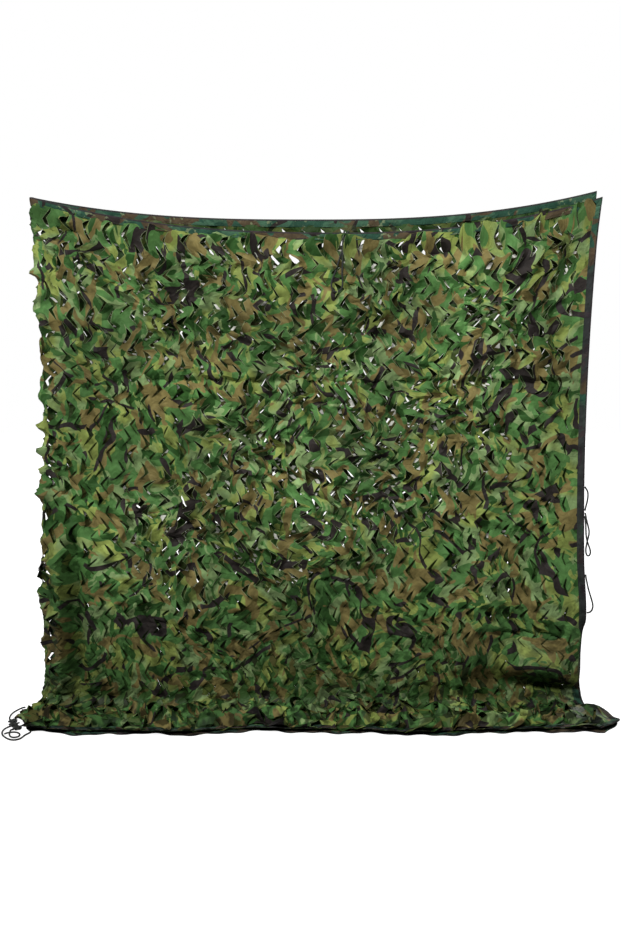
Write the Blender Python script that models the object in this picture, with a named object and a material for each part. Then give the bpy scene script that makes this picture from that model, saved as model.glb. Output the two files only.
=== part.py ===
"""Camouflage net of slit cloth, folded in two, hung by its top corners, with its foot laid on the floor.

Metres, +X to the right across the net, +Y behind it, +Z up. The origin is the middle of the top edge.
The cloth is drawn flat, as it is cut: "along" runs from the side edge of the back layer, round the
fold at the left, to the side edge of the front layer, and "down" from the top edge to the bottom edge.
Then drape() lays each flat point where it hangs or lies.
"""
import math
from collections import namedtuple

import bmesh
import bpy
from mathutils import Vector
from mathutils.geometry import delaunay_2d_cdt

# The flat cloth
NET_LENGTH = 3.0
NET_HEIGHT = 1.5
CLOTH_THICKNESS = 0.002
BINDING_WIDTH = 0.020
BINDING_THICKNESS = 0.003
SEAM_GAP = 0.0003

# How it hangs
FLOOR_LEVEL = -1.307
TOP_SAG = 0.064
TOP_TILT = 0.017        # the right top corner is this much higher than the left one
SAG_POWER = 2.6         # the sag is flat in the middle and steep near the corners
FRONT_SAG = 0.018       # the front layer sags this much more
FRONT_CORNER_DROP = 0.016
BEND_RADIUS = 0.030     # where the cloth turns from the hanging part to the floor
HANGING_HALF_GAP = 0.007
LYING_HALF_GAP = 0.005
GAP_EASING = 0.20       # the layers close up over this length above the floor

# Side edges: distance down the cloth, and how far left and right the two layers reach there
Edge = namedtuple("Edge", "down left right_back right_front")
EDGES = (
    Edge(0.00, -0.734, 0.732, 0.744),
    Edge(0.12, -0.728, 0.725, 0.733),
    Edge(0.40, -0.719, 0.720, 0.722),
    Edge(0.66, -0.721, 0.720, 0.721),
    Edge(0.92, -0.733, 0.724, 0.729),
    Edge(1.06, -0.738, 0.728, 0.739),
    Edge(1.14, -0.736, 0.730, 0.733),
    Edge(1.27, -0.744, 0.733, 0.731),
    Edge(1.33, -0.770, 0.752, 0.748),
    Edge(1.38, -0.783, 0.784, 0.788),
    Edge(1.43, -0.772, 0.796, 0.800),
    Edge(1.50, -0.728, 0.745, 0.738),
)

# Folds of the hanging cloth, each a soft ridge or, with a negative height, a trough
Fold = namedtuple("Fold", "x_top down_top x_foot down_foot half_width height")
FOLDS = (
    Fold(-0.665, 0.60, -0.672, 1.30, 0.034, -0.018),
    Fold(-0.600, 0.55, -0.610, 1.28, 0.050, 0.014),
    Fold(-0.450, 0.25, -0.420, 1.05, 0.080, -0.012),
    Fold(-0.270, 0.12, -0.320, 1.10, 0.090, 0.020),
    Fold(-0.080, 0.30, -0.120, 1.27, 0.080, -0.012),
    Fold(0.090, 0.25, 0.060, 1.24, 0.100, 0.020),
    Fold(0.360, 0.08, 0.300, 0.85, 0.100, 0.018),
    Fold(0.470, 0.85, 0.400, 1.29, 0.060, 0.024),
    Fold(0.560, 0.80, 0.560, 1.29, 0.050, -0.020),
    Fold(0.640, 0.90, 0.690, 1.29, 0.045, 0.018),
)

# Creases across the cloth from its packing: how far down at the left and right sides, and their height
Crease = namedtuple("Crease", "down_left down_right height")
CREASES = (
    Crease(0.405, 0.410, 0.005),
    Crease(0.750, 0.750, -0.003),
    Crease(1.085, 1.115, -0.006),
)
CREASE_HALF_WIDTH = 0.045
FOLD_FADE = 0.25        # share of a fold's length over which it fades in and out

# Waves that the foot of the hanging cloth stands in, along the net
Wave = namedtuple("Wave", "length reach start")
WAVES = (
    Wave(0.71, 0.011, 0.10),
    Wave(0.29, 0.005, 0.17),
)

# Humps of the part that lies on the floor: their middle, half lengths, turn and height
Hump = namedtuple("Hump", "x forward half_length half_width turn_deg height")
HUMPS = (
    Hump(-0.69, 0.070, 0.136, 0.054, 20, 0.018),
    Hump(-0.55, 0.095, 0.192, 0.054, -14, 0.020),
    Hump(-0.38, 0.060, 0.176, 0.054, 10, 0.026),
    Hump(-0.22, 0.105, 0.176, 0.048, -16, 0.018),
    Hump(-0.05, 0.070, 0.192, 0.058, 12, 0.026),
    Hump(0.14, 0.100, 0.192, 0.051, -8, 0.020),
    Hump(0.33, 0.065, 0.192, 0.058, 14, 0.026),
    Hump(0.50, 0.100, 0.176, 0.051, -12, 0.020),
    Hump(0.71, 0.050, 0.160, 0.064, -18, 0.034),
)

HUMP_START = 0.030      # the humps begin this far from the bend

# Slit openings, at twice the pitch of the real slits
CELL_WIDTH = 0.104
CELL_HEIGHT = 0.143
ARM_RUN = 0.031
ARM_RISE = 0.046
RIGHT_SLIT_SHIFT = 0.088
WIDEST_OPENING = 0.024
LEAST_OPENING = 0.009
SLIT_MARGIN = 0.050     # clear cloth between the slits and the binding, the fold and the floor bend

# Where the slits are pulled open: patches of the hanging cloth, and how open they are there
Patch = namedtuple("Patch", "x down half_width half_height openness")
OPEN_PATCHES = (
    Patch(-0.15, 0.20, 0.75, 0.36, 1.0),
    Patch(0.08, 0.58, 0.55, 0.42, 0.9),
    Patch(-0.25, 0.85, 0.42, 0.34, 0.7),
    Patch(0.50, 0.30, 0.36, 0.36, 0.9),
)

# Mesh stations: the longest steps along and down the cloth
ALONG_STEP = 0.046
DOWN_STEP = 0.110
FLOOR_STEP = 0.030
BEND_STEPS = 4
FOLD_STEPS = 4
POINT_CLEARANCE = 0.016
PROBE = 0.002           # half the distance over which a slope is measured
ROUNDING = 1e-6
EDGE_ANGLE = math.radians(40)

# Cords
CORD_DIAMETER = 0.0035
CORD_STEP = 0.009
CURVE_PARTS = 8         # fine parts between two points of a route

CLOTH_GREEN = (0.085, 0.175, 0.060)
BINDING_GREEN = (0.045, 0.105, 0.060)
CORD_GREY = (0.022, 0.022, 0.020)

# Cord routes, in metres, from where each cord leaves the net to where it goes back in or ends.
# For LYING_CORDS the third value is the height above where the cord would touch the floor.
CORD_ROUTES = {
    "cord_top_loop": (
        (0.0790, -0.0106, -0.0300), (0.0788, -0.0107, -0.0370), (0.0780, -0.0122, -0.0440),
        (0.0768, -0.0145, -0.0510), (0.0756, -0.0165, -0.0590), (0.0746, -0.0180, -0.0690),
        (0.0742, -0.0186, -0.0800), (0.0746, -0.0184, -0.0950), (0.0750, -0.0180, -0.1100),
        (0.0742, -0.0175, -0.1250), (0.0740, -0.0170, -0.1410), (0.0750, -0.0165, -0.1560),
        (0.0750, -0.0160, -0.1690), (0.0710, -0.0160, -0.1790), (0.0630, -0.0160, -0.1860),
        (0.0550, -0.0160, -0.1850), (0.0480, -0.0160, -0.1780), (0.0460, -0.0160, -0.1670),
        (0.0480, -0.0160, -0.1560), (0.0520, -0.0160, -0.1450), (0.0570, -0.0155, -0.1330),
        (0.0610, -0.0150, -0.1200), (0.0650, -0.0145, -0.1080), (0.0690, -0.0140, -0.0940),
        (0.0740, -0.0136, -0.0800), (0.0795, -0.0132, -0.0680), (0.0845, -0.0125, -0.0560),
        (0.0876, -0.0114, -0.0460), (0.0890, -0.0107, -0.0380), (0.0892, -0.0106, -0.0300),
    ),
    "cord_side_upper": (
        (0.7243, -0.0018, -0.6990), (0.7255, -0.0026, -0.7030), (0.7283, -0.0038, -0.7070),
        (0.7308, -0.0046, -0.7130), (0.7318, -0.0050, -0.7220), (0.7312, -0.0048, -0.7330),
        (0.7294, -0.0040, -0.7440), (0.7276, -0.0030, -0.7530), (0.7264, -0.0022, -0.7600),
        (0.7261, -0.0018, -0.7640),
    ),
    "cord_side_middle": (
        (0.7263, -0.0030, -0.7700), (0.7272, -0.0055, -0.7755), (0.7288, -0.0075, -0.7850),
        (0.7315, -0.0085, -0.7960), (0.7345, -0.0085, -0.8070), (0.7368, -0.0085, -0.8170),
        (0.7370, -0.0085, -0.8270), (0.7352, -0.0082, -0.8370), (0.7332, -0.0080, -0.8460),
        (0.7315, -0.0078, -0.8560), (0.7303, -0.0072, -0.8670), (0.7312, -0.0062, -0.8780),
        (0.7352, -0.0052, -0.8862), (0.7408, -0.0042, -0.8860), (0.7438, -0.0032, -0.8780),
        (0.7420, -0.0028, -0.8680), (0.7380, -0.0022, -0.8570), (0.7342, -0.0016, -0.8460),
        (0.7314, -0.0012, -0.8320), (0.7303, -0.0010, -0.8190), (0.7295, -0.0010, -0.8050),
        (0.7283, -0.0010, -0.7920), (0.7270, -0.0012, -0.7840), (0.7265, -0.0012, -0.7790),
    ),
    "cord_side_lower": (
        (0.7336, -0.0010, -0.9390), (0.7343, -0.0018, -0.9460), (0.7362, -0.0030, -0.9560),
        (0.7384, -0.0040, -0.9660), (0.7410, -0.0048, -0.9770), (0.7440, -0.0054, -0.9870),
        (0.7472, -0.0056, -0.9970), (0.7505, -0.0056, -1.0070), (0.7535, -0.0052, -1.0170),
        (0.7548, -0.0046, -1.0270), (0.7530, -0.0038, -1.0360), (0.7485, -0.0030, -1.0420),
        (0.7440, -0.0022, -1.0440), (0.7396, -0.0014, -1.0445),
    ),
    "cord_foot_outer": (
        (-0.7676, -0.1474, 0.0048), (-0.7720, -0.1500, 0.0040), (-0.7765, -0.1530, 0.0024),
        (-0.7820, -0.1560, 0.0008), (-0.7880, -0.1610, 0.0), (-0.7940, -0.1700, 0.0),
        (-0.7985, -0.1840, 0.0), (-0.7985, -0.2020, 0.0), (-0.7930, -0.2210, 0.0),
        (-0.7830, -0.2370, 0.0), (-0.7710, -0.2500, 0.0), (-0.7590, -0.2570, 0.0),
        (-0.7480, -0.2555, 0.0), (-0.7400, -0.2460, 0.0), (-0.7365, -0.2320, 0.0),
        (-0.7335, -0.2210, 0.0), (-0.7290, -0.2125, 0.0), (-0.7265, -0.2065, 0.0),
        (-0.7260, -0.2010, 0.0),
    ),
    "cord_foot_inner": (
        (-0.7544, -0.1682, 0.0048), (-0.7590, -0.1712, 0.0040), (-0.7640, -0.1745, 0.0026),
        (-0.7690, -0.1790, 0.0012), (-0.7730, -0.1850, 0.0012), (-0.7755, -0.1940, 0.0032),
        (-0.7765, -0.2030, 0.0050), (-0.7765, -0.2120, 0.0032), (-0.7745, -0.2230, 0.0006),
        (-0.7690, -0.2340, 0.0), (-0.7600, -0.2400, 0.0), (-0.7515, -0.2370, 0.0),
        (-0.7480, -0.2280, 0.0), (-0.7500, -0.2170, 0.0), (-0.7570, -0.2075, 0.0),
        (-0.7660, -0.2035, 0.0), (-0.7765, -0.2045, 0.0), (-0.7840, -0.2085, 0.0),
        (-0.7890, -0.2150, 0.0),
    ),
    "cord_foot_edge": (
        (-0.7801, -0.0360, 0.0066), (-0.7850, -0.0345, 0.0055), (-0.7905, -0.0345, 0.0036),
        (-0.7965, -0.0375, 0.0016), (-0.8020, -0.0445, 0.0002), (-0.8060, -0.0560, 0.0),
        (-0.8080, -0.0700, 0.0), (-0.8080, -0.0850, 0.0), (-0.8060, -0.1000, 0.0),
        (-0.8020, -0.1130, 0.0), (-0.7965, -0.1230, 0.0008), (-0.7900, -0.1290, 0.0024),
        (-0.7835, -0.1294, 0.0042), (-0.7785, -0.1271, 0.0048),
    ),
}
LYING_CORDS = ("cord_foot_outer", "cord_foot_inner", "cord_foot_edge")


def smooth(value):
    """Ease a value from 0 to 1 without a kink."""
    value = min(1.0, max(0.0, value))
    return value * value * (3.0 - 2.0 * value)


def edge_at(down, side):
    """How far a side edge reaches at a distance down the cloth, on a smooth curve through EDGES."""
    last = len(EDGES) - 1
    lower = max(0, min(last - 1, sum(row.down <= down for row in EDGES) - 1))
    rows = [EDGES[min(last, max(0, lower + step))] for step in (-1, 0, 1, 2)]
    downs = [row.down for row in rows]
    before, start, end, after = (getattr(row, side) for row in rows)
    span = downs[2] - downs[1]
    share = min(1.0, max(0.0, (down - downs[1]) / span))
    slope_start = (end - before) / (downs[2] - downs[0]) * span
    slope_end = (after - start) / (downs[3] - downs[1]) * span
    square, cube = share ** 2, share ** 3
    return ((2 * cube - 3 * square + 1) * start + (cube - 2 * square + share) * slope_start
            + (3 * square - 2 * cube) * end + (cube - square) * slope_end)


def patch_openness(patch, x, down):
    """How far an oval patch pulls the slits open at a place, down to nothing at its rim."""
    reach = math.hypot((x - patch.x) / patch.half_width, (down - patch.down) / patch.half_height)
    return patch.openness * math.sqrt(smooth(1.0 - reach))


def hanging_length():
    """Length down the cloth that hangs, in the middle of the net."""
    return -FLOOR_LEVEL - BEND_RADIUS - LYING_HALF_GAP - BINDING_THICKNESS / 2


def half_gap(down):
    """Half the distance between the two layers."""
    closing = smooth((down - hanging_length() + GAP_EASING) / GAP_EASING)
    return HANGING_HALF_GAP + (LYING_HALF_GAP - HANGING_HALF_GAP) * closing


def top_edge_height(across):
    """Height of the top edge, from 0 at the fold to 1 at the side edges."""
    middle = abs(2.0 * across - 1.0)
    return TOP_SAG * (middle ** SAG_POWER) + TOP_TILT * (across - 0.5) * middle


def fold_height(x, down):
    """How far the folds and creases push the hanging cloth forward."""
    height = 0.0
    for fold in FOLDS:
        run = (down - fold.down_top) / (fold.down_foot - fold.down_top)
        if not 0.0 < run < 1.0:
            continue
        centre = fold.x_top + (fold.x_foot - fold.x_top) * run
        fading = smooth(min(run, 1.0 - run) / FOLD_FADE)
        height += fold.height * fading * math.exp(-((x - centre) / fold.half_width) ** 2)
    share = min(1.0, max(0.0, 0.5 + x / NET_HEIGHT))
    for crease in CREASES:
        distance = abs(down - (crease.down_left + (crease.down_right - crease.down_left) * share))
        height += crease.height * max(0.0, 1.0 - distance / CREASE_HALF_WIDTH)
    return height


def foot_shift(x, down):
    """How far forward the waves of the foot bring the cloth, from nothing at the top edge."""
    waves = sum(wave.reach * math.sin(2 * math.pi * (x - wave.start) / wave.length) for wave in WAVES)
    return waves * smooth(down / hanging_length()) ** 2


def hump_height(x, forward):
    """How far the lying cloth is lifted off the floor."""
    height = 0.0
    for hump in HUMPS:
        turn = math.radians(hump.turn_deg)
        run, side = x - hump.x, forward - hump.forward
        lengthwise = (run * math.cos(turn) + side * math.sin(turn)) / hump.half_length
        crosswise = (side * math.cos(turn) - run * math.sin(turn)) / hump.half_width
        height = max(height, hump.height * smooth(1.0 - math.hypot(lengthwise, crosswise)))
    return height * smooth(forward / HUMP_START)


def drape(along, down):
    """Where a point of the flat cloth hangs or lies."""
    gap = half_gap(down)
    fold_length = math.pi * HANGING_HALF_GAP
    layer_length = (NET_LENGTH - fold_length) / 2
    turn = math.pi * min(1.0, max(0.0, (along - layer_length) / fold_length))
    front = (1.0 - math.cos(turn)) / 2
    if along < NET_LENGTH / 2:
        across = 1.0 - min(1.0, along / layer_length)
    else:
        across = max(0.0, (along - layer_length - fold_length) / layer_length)

    hang = hanging_length()
    bend_length = math.pi / 2 * BEND_RADIUS
    lift = smooth(1.0 - down / hang)
    left = edge_at(down, "left")
    right = edge_at(down, "right_back") * (1 - front) + edge_at(down, "right_front") * front
    x = left + (right - left) * across - gap * math.sin(turn)

    outward = gap * math.cos(turn)
    if down <= hang:
        extra_sag = front * lift * (FRONT_SAG * 4 * across * (1 - across) + FRONT_CORNER_DROP * across)
        top = top_edge_height(across) - extra_sag
        foot = -hang
        z = top + (foot - top) * down / hang
        return Vector((x, outward - fold_height(x, down) - foot_shift(x, down), z))
    angle = min(math.pi / 2, (down - hang) / BEND_RADIUS)
    radius = BEND_RADIUS + outward
    run = max(0.0, down - hang - bend_length)
    forward = BEND_RADIUS - radius * math.cos(angle) + run
    z = -hang - radius * math.sin(angle)
    return Vector((x, -forward - foot_shift(x, down), z + hump_height(x, run)))


def outward_normal(along, down):
    """Direction square to the draped cloth, away from the other layer."""
    along = min(NET_LENGTH - PROBE, max(PROBE, along))
    down = min(NET_HEIGHT - PROBE, max(PROBE, down))
    run = drape(along + PROBE, down) - drape(along - PROBE, down)
    fall = drape(along, down + PROBE) - drape(along, down - PROBE)
    return fall.cross(run).normalized()


def steps_between(start, end, step):
    """Evenly spaced values from start to end, no more than a step apart."""
    count = max(1, math.ceil((end - start) / step - ROUNDING))
    return [start + (end - start) * index / count for index in range(count + 1)]


def chain(*stretches):
    """Join stretches of values that share their ends."""
    values = list(stretches[0])
    for stretch in stretches[1:]:
        values.extend(stretch[1:])
    return values


def along_stations():
    """Places along the cloth where it may bend, close together round the fold."""
    fold_length = math.pi * HANGING_HALF_GAP
    fold_start = (NET_LENGTH - fold_length) / 2
    fold_end = fold_start + fold_length
    inner = BINDING_WIDTH + SEAM_GAP
    return chain(
        steps_between(inner, fold_start, ALONG_STEP),
        steps_between(fold_start, fold_end, fold_length / FOLD_STEPS),
        steps_between(fold_end, NET_LENGTH - inner, ALONG_STEP),
    )


def down_stations():
    """Places down the cloth where it may bend, close together where it turns to the floor."""
    hang = hanging_length()
    bend_end = hang + math.pi / 2 * BEND_RADIUS
    inner = BINDING_WIDTH + SEAM_GAP
    return chain(
        steps_between(inner, hang, DOWN_STEP),
        steps_between(hang, bend_end, (bend_end - hang) / BEND_STEPS),
        steps_between(bend_end, NET_HEIGHT - inner, FLOOR_STEP),
    )


def opening_at(along, down):
    """Width of the slit opening whose tip is at a flat point, or 0 where it stays closed."""
    place = drape(along, down)
    width = WIDEST_OPENING * max(patch_openness(patch, place.x, down) for patch in OPEN_PATCHES)
    return width if width >= LEAST_OPENING else 0.0


def slit_openings():
    """Outlines of the openings of both layers: arrowheads that point left and right in turn."""
    half_fold = math.pi * HANGING_HALF_GAP / 2
    inner = BINDING_WIDTH + SLIT_MARGIN
    layers = (
        (inner, NET_LENGTH / 2 - half_fold - SLIT_MARGIN),
        (NET_LENGTH / 2 + half_fold + SLIT_MARGIN, NET_LENGTH - inner),
    )
    top, foot = BINDING_WIDTH + SLIT_MARGIN / 2, hanging_length() - SLIT_MARGIN / 2
    outlines = []
    for start, end in layers:
        for column in range(int((end - start) / CELL_WIDTH)):
            for row in range(int((foot - top) / CELL_HEIGHT)):
                tip_along = start + column * CELL_WIDTH
                tip_down = top + (row + 0.5) * CELL_HEIGHT
                for shift, drop, way in ((0.0, 0.0, 1), (RIGHT_SLIT_SHIFT, CELL_HEIGHT / 2, -1)):
                    along, down = tip_along + shift, tip_down + drop
                    width = opening_at(along, down)
                    if width and down + ARM_RISE < foot and along < end:
                        outlines.append((
                            (along, down),
                            (along + way * ARM_RUN, down - ARM_RISE),
                            (along + way * width, down),
                            (along + way * ARM_RUN, down + ARM_RISE),
                        ))
    return outlines


def clear_of(point, outlines):
    """Whether a flat point keeps its distance from every opening."""
    for outline in outlines:
        tip, upper, _, lower = outline
        way = 1 if upper[0] > tip[0] else -1
        if abs(point[1] - tip[1]) > ARM_RISE + POINT_CLEARANCE:
            continue
        arm_along = tip[0] + way * ARM_RUN * abs(point[1] - tip[1]) / ARM_RISE
        if abs(point[0] - arm_along) < POINT_CLEARANCE + WIDEST_OPENING / 2:
            return False
    return True


def in_opening(face, first, count):
    """Whether a triangle fills an opening: it then has that outline's tip and two of its other corners."""
    if not all(first <= index < first + 4 * count for index in face):
        return False
    outlines = {(index - first) // 4 for index in face}
    return len(outlines) == 1 and any((index - first) % 4 == 0 for index in face)


def panel_pattern():
    """Flat triangles of the cloth panel, with its slit openings cut out."""
    alongs, downs = along_stations(), down_stations()
    rim = [(along, downs[0]) for along in alongs[:-1]]
    rim += [(alongs[-1], down) for down in downs[:-1]]
    rim += [(along, downs[-1]) for along in reversed(alongs[1:])]
    rim += [(alongs[0], down) for down in reversed(downs[1:])]
    outlines = slit_openings()
    points, edges = list(rim), []
    edges += [(index, (index + 1) % len(rim)) for index in range(len(rim))]
    for outline in outlines:
        first = len(points)
        points.extend(outline)
        edges += [(first + corner, first + (corner + 1) % 4) for corner in range(4)]
    points += [(along, down) for along in alongs[1:-1] for down in downs[1:-1]
               if clear_of((along, down), outlines)]
    flat, _, faces, _, _, _ = delaunay_2d_cdt([Vector(point) for point in points], edges, [], 0, ROUNDING)
    return flat, [face for face in faces if not in_opening(face, len(rim), len(outlines))]


def strip_pattern(alongs, downs):
    """Flat quads of a strip between two lists of stations."""
    flat = [Vector((along, down)) for down in downs for along in alongs]
    width = len(alongs)
    faces = [
        (row * width + column, row * width + column + 1,
         (row + 1) * width + column + 1, (row + 1) * width + column)
        for row in range(len(downs) - 1) for column in range(width - 1)
    ]
    return flat, faces


def material(name, colour, roughness):
    """A plain cloth finish."""
    finish = bpy.data.materials.new(name)
    finish.use_nodes = True
    shader = finish.node_tree.nodes["Principled BSDF"]
    shader.inputs["Base Color"].default_value = (*colour, 1.0)
    shader.inputs["Roughness"].default_value = roughness
    shader.inputs["Metallic"].default_value = 0.0
    return finish


def cloth_piece(name, pattern, thickness, finish):
    """Drape a flat pattern and give it its thickness, half to each side, with its edges closed."""
    flat, faces = pattern
    shape = bmesh.new()
    outer, inner = [], []
    for point in flat:
        place, normal = drape(point.x, point.y), outward_normal(point.x, point.y)
        outer.append(shape.verts.new(place + normal * thickness / 2))
        inner.append(shape.verts.new(place - normal * thickness / 2))
    sides = set()
    for face in faces:
        shape.faces.new([outer[index] for index in reversed(face)])
        shape.faces.new([inner[index] for index in face])
        sides.update(zip(face, (*face[1:], face[0])))
    for start, end in sorted(sides):
        if (end, start) not in sides:
            # The same diagonal on both sides of a seam keeps the seam open where the cloth twists.
            near, far = sorted((start, end), key=lambda index: flat[index].x + flat[index].y)
            shape.faces.new((outer[near], outer[far], inner[far]))
            shape.faces.new((outer[near], inner[far], inner[near]))
    bmesh.ops.recalc_face_normals(shape, faces=shape.faces)
    mesh = bpy.data.meshes.new(name)
    shape.to_mesh(mesh)
    shape.free()
    mesh.materials.append(finish)
    mesh.shade_smooth()
    mesh.set_sharp_from_angle(angle=EDGE_ANGLE)
    piece = bpy.data.objects.new(name, mesh)
    bpy.context.collection.objects.link(piece)


def curve_through(route, step):
    """Points about a step apart on a smooth curve through a route's own points."""
    points = [Vector(point) for point in route]
    padded = [points[0] * 2 - points[1], *points, points[-1] * 2 - points[-2]]
    fine = []
    for before, start, end, after in zip(padded, padded[1:], padded[2:], padded[3:]):
        for part in range(CURVE_PARTS):
            share = part / CURVE_PARTS
            fine.append(0.5 * (2 * start + (end - before) * share
                               + (2 * before - 5 * start + 4 * end - after) * share ** 2
                               + (3 * start - before - 3 * end + after) * share ** 3))
    fine.append(points[-1])
    lengths = [0.0]
    for start, end in zip(fine, fine[1:]):
        lengths.append(lengths[-1] + (end - start).length)
    count = round(lengths[-1] / step)
    spaced, place = [], 0
    for index in range(count + 1):
        target = lengths[-1] * index / count
        while place < len(fine) - 2 and lengths[place + 1] < target:
            place += 1
        share = (target - lengths[place]) / (lengths[place + 1] - lengths[place])
        spaced.append(fine[place].lerp(fine[place + 1], min(1.0, share)))
    return spaced


def cord_piece(name, route, finish):
    """A tube along a cord's route."""
    base = FLOOR_LEVEL + CORD_DIAMETER / 2 if name in LYING_CORDS else 0.0
    points = [point + Vector((0.0, 0.0, base)) for point in curve_through(route, CORD_STEP)]
    curve = bpy.data.curves.new(name, "CURVE")
    curve.dimensions = "3D"
    curve.bevel_depth = CORD_DIAMETER / 2
    curve.bevel_resolution = 2
    curve.use_fill_caps = True
    spline = curve.splines.new("POLY")
    spline.points.add(len(points) - 1)
    for target, point in zip(spline.points, points):
        target.co = (*point, 1.0)
    curve.materials.append(finish)
    piece = bpy.data.objects.new(name, curve)
    bpy.context.collection.objects.link(piece)
    return piece


def build():
    """Make the panel, its four bindings and its cords."""
    for item in list(bpy.data.objects):
        bpy.data.objects.remove(item, do_unlink=True)
    cloth = material("slit_cloth", CLOTH_GREEN, 0.75)
    binding = material("binding_cloth", BINDING_GREEN, 0.7)
    cord = material("cord", CORD_GREY, 0.6)

    alongs, downs = along_stations(), down_stations()
    full_along = [0.0, *alongs, NET_LENGTH]
    top_band, foot_band = (0.0, BINDING_WIDTH), (NET_HEIGHT - BINDING_WIDTH, NET_HEIGHT)
    back_band, front_band = (0.0, BINDING_WIDTH), (NET_LENGTH - BINDING_WIDTH, NET_LENGTH)
    cloth_piece("net_cloth", panel_pattern(), CLOTH_THICKNESS, cloth)
    for name, pattern in (
        ("binding_top", strip_pattern(full_along, top_band)),
        ("binding_bottom", strip_pattern(full_along, foot_band)),
        ("binding_side_back", strip_pattern(back_band, downs)),
        ("binding_side_front", strip_pattern(front_band, downs)),
    ):
        cloth_piece(name, pattern, BINDING_THICKNESS, binding)
    for name, route in CORD_ROUTES.items():
        cord_piece(name, route, cord)


build()
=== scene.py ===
"""Camouflage net of leaf-cut cloth, folded in two, hung by its top corners, its foot spread on the floor.

Metres, +X to the right across the net, +Y behind it, +Z up. The cloth is worked out flat first, as it
is cut: "along" runs from the side edge of the back layer, round the fold at the left, to the side edge
of the front layer, and "down" from the top edge to the bottom edge. Then drape() hangs it.
"""
import math
import random
from collections import namedtuple

import bmesh
import bpy
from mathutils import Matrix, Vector, noise


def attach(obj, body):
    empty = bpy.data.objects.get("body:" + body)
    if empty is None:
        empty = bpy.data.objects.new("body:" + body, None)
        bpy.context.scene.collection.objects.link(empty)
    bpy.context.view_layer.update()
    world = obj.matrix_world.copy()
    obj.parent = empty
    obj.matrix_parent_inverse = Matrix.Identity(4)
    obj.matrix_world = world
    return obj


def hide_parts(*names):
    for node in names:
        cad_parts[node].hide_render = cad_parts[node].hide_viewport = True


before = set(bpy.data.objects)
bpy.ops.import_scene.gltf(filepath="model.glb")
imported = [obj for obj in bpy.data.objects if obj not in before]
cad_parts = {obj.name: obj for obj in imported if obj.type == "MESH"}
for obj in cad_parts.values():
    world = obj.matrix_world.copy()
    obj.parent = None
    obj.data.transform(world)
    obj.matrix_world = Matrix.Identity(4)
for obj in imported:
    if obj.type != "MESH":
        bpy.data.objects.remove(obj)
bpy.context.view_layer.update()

# ---------------------------------------------------------------- the flat cloth
NET_LENGTH = 3.0
NET_HEIGHT = 1.5
BINDING_WIDTH = 0.020
BINDING_THICKNESS = 0.003
CLOTH_THICKNESS = 0.0005

# The leaf cuts: cells of columns and rows, with a slit on two of the columns' zigzag lines
CELL_COLUMNS = 5
CELL_ROWS = 12
COLUMNS = 290
ROWS = 250
COLUMN = NET_LENGTH / COLUMNS
ROW = NET_HEIGHT / ROWS
RIGHT_SLIT_COLUMN = 2       # column of a cell that holds its second slit
FIRST_SLIT_ROW = 8          # row of the middle of the first slit
SLIT_REACH = 4              # rows from the middle of a slit to its end
LAST_SLIT_ROW = ROWS - 8
ZIGZAG = 0.0295             # how far a slit line swings to the side
ROUNDED_SHARE = 0.10        # how round the tips of the zigzag are
EDGE_EASING = 0.080         # the zigzag and the leaves die out over this length at the side edges
FOLD_COLUMN = COLUMNS // 2

# ---------------------------------------------------------------- how it hangs
FLOOR_LEVEL = -1.307
FLOOR_SIZE = 14.0
FLOOR_GAP = 0.0005          # how far the floor that shows is below that level
TOP_SAG = 0.064
TOP_TILT = 0.017
SAG_POWER = 2.6
FRONT_SAG = 0.026
FRONT_CORNER_DROP = 0.016
BEND_RADIUS = 0.030
HANGING_HALF_GAP = 0.007
LYING_HALF_GAP = 0.0020
GAP_EASING = 0.20
HUMP_START = 0.030

# How far the side edges reach, down the cloth
Edge = namedtuple("Edge", "down left right_back right_front")
EDGES = (
    Edge(0.00, -0.725, 0.732, 0.744),
    Edge(0.12, -0.716, 0.725, 0.733),
    Edge(0.40, -0.712, 0.720, 0.722),
    Edge(0.66, -0.716, 0.720, 0.721),
    Edge(0.92, -0.728, 0.724, 0.729),
    Edge(1.06, -0.733, 0.728, 0.739),
    Edge(1.14, -0.732, 0.730, 0.733),
    Edge(1.27, -0.737, 0.733, 0.731),
    Edge(1.33, -0.770, 0.752, 0.748),
    Edge(1.38, -0.783, 0.784, 0.788),
    Edge(1.43, -0.772, 0.796, 0.800),
    Edge(1.50, -0.728, 0.745, 0.738),
)

# Folds of the hanging cloth: the solids' own first, then finer ones
Fold = namedtuple("Fold", "x_top down_top x_foot down_foot half_width height")
FOLDS = (
    Fold(-0.684, 0.80, -0.684, 1.31, 0.020, 0.040),
    Fold(-0.640, 0.80, -0.640, 1.31, 0.017, -0.036),
    Fold(-0.560, 0.55, -0.560, 1.29, 0.060, 0.016),
    Fold(-0.450, 0.25, -0.420, 1.05, 0.080, -0.012),
    Fold(-0.270, 0.12, -0.320, 1.10, 0.090, 0.020),
    Fold(-0.080, 0.30, -0.120, 1.27, 0.080, -0.012),
    Fold(0.090, 0.25, 0.060, 1.24, 0.100, 0.020),
    Fold(0.360, 0.08, 0.300, 0.85, 0.100, 0.018),
    Fold(0.470, 0.85, 0.400, 1.29, 0.060, 0.024),
    Fold(0.560, 0.80, 0.560, 1.29, 0.050, -0.020),
    Fold(0.640, 0.90, 0.690, 1.29, 0.045, 0.018),
)
FOLD_FADE = 0.25

# Sharp creases from packing: level lines below the top edge, from one side to the other
Crease = namedtuple("Crease", "x_left x_right below_left below_right depth half_width")
CREASES = (
    Crease(-0.48, 0.06, 0.415, 0.418, 0.013, 0.010),
    Crease(0.08, 0.72, 0.418, 0.420, 0.013, 0.010),
    Crease(-0.50, -0.22, 1.068, 1.080, 0.006, 0.009),
    Crease(0.45, 0.72, 1.098, 1.112, 0.014, 0.008),
)
CREASE_FADE = 0.08

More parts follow.
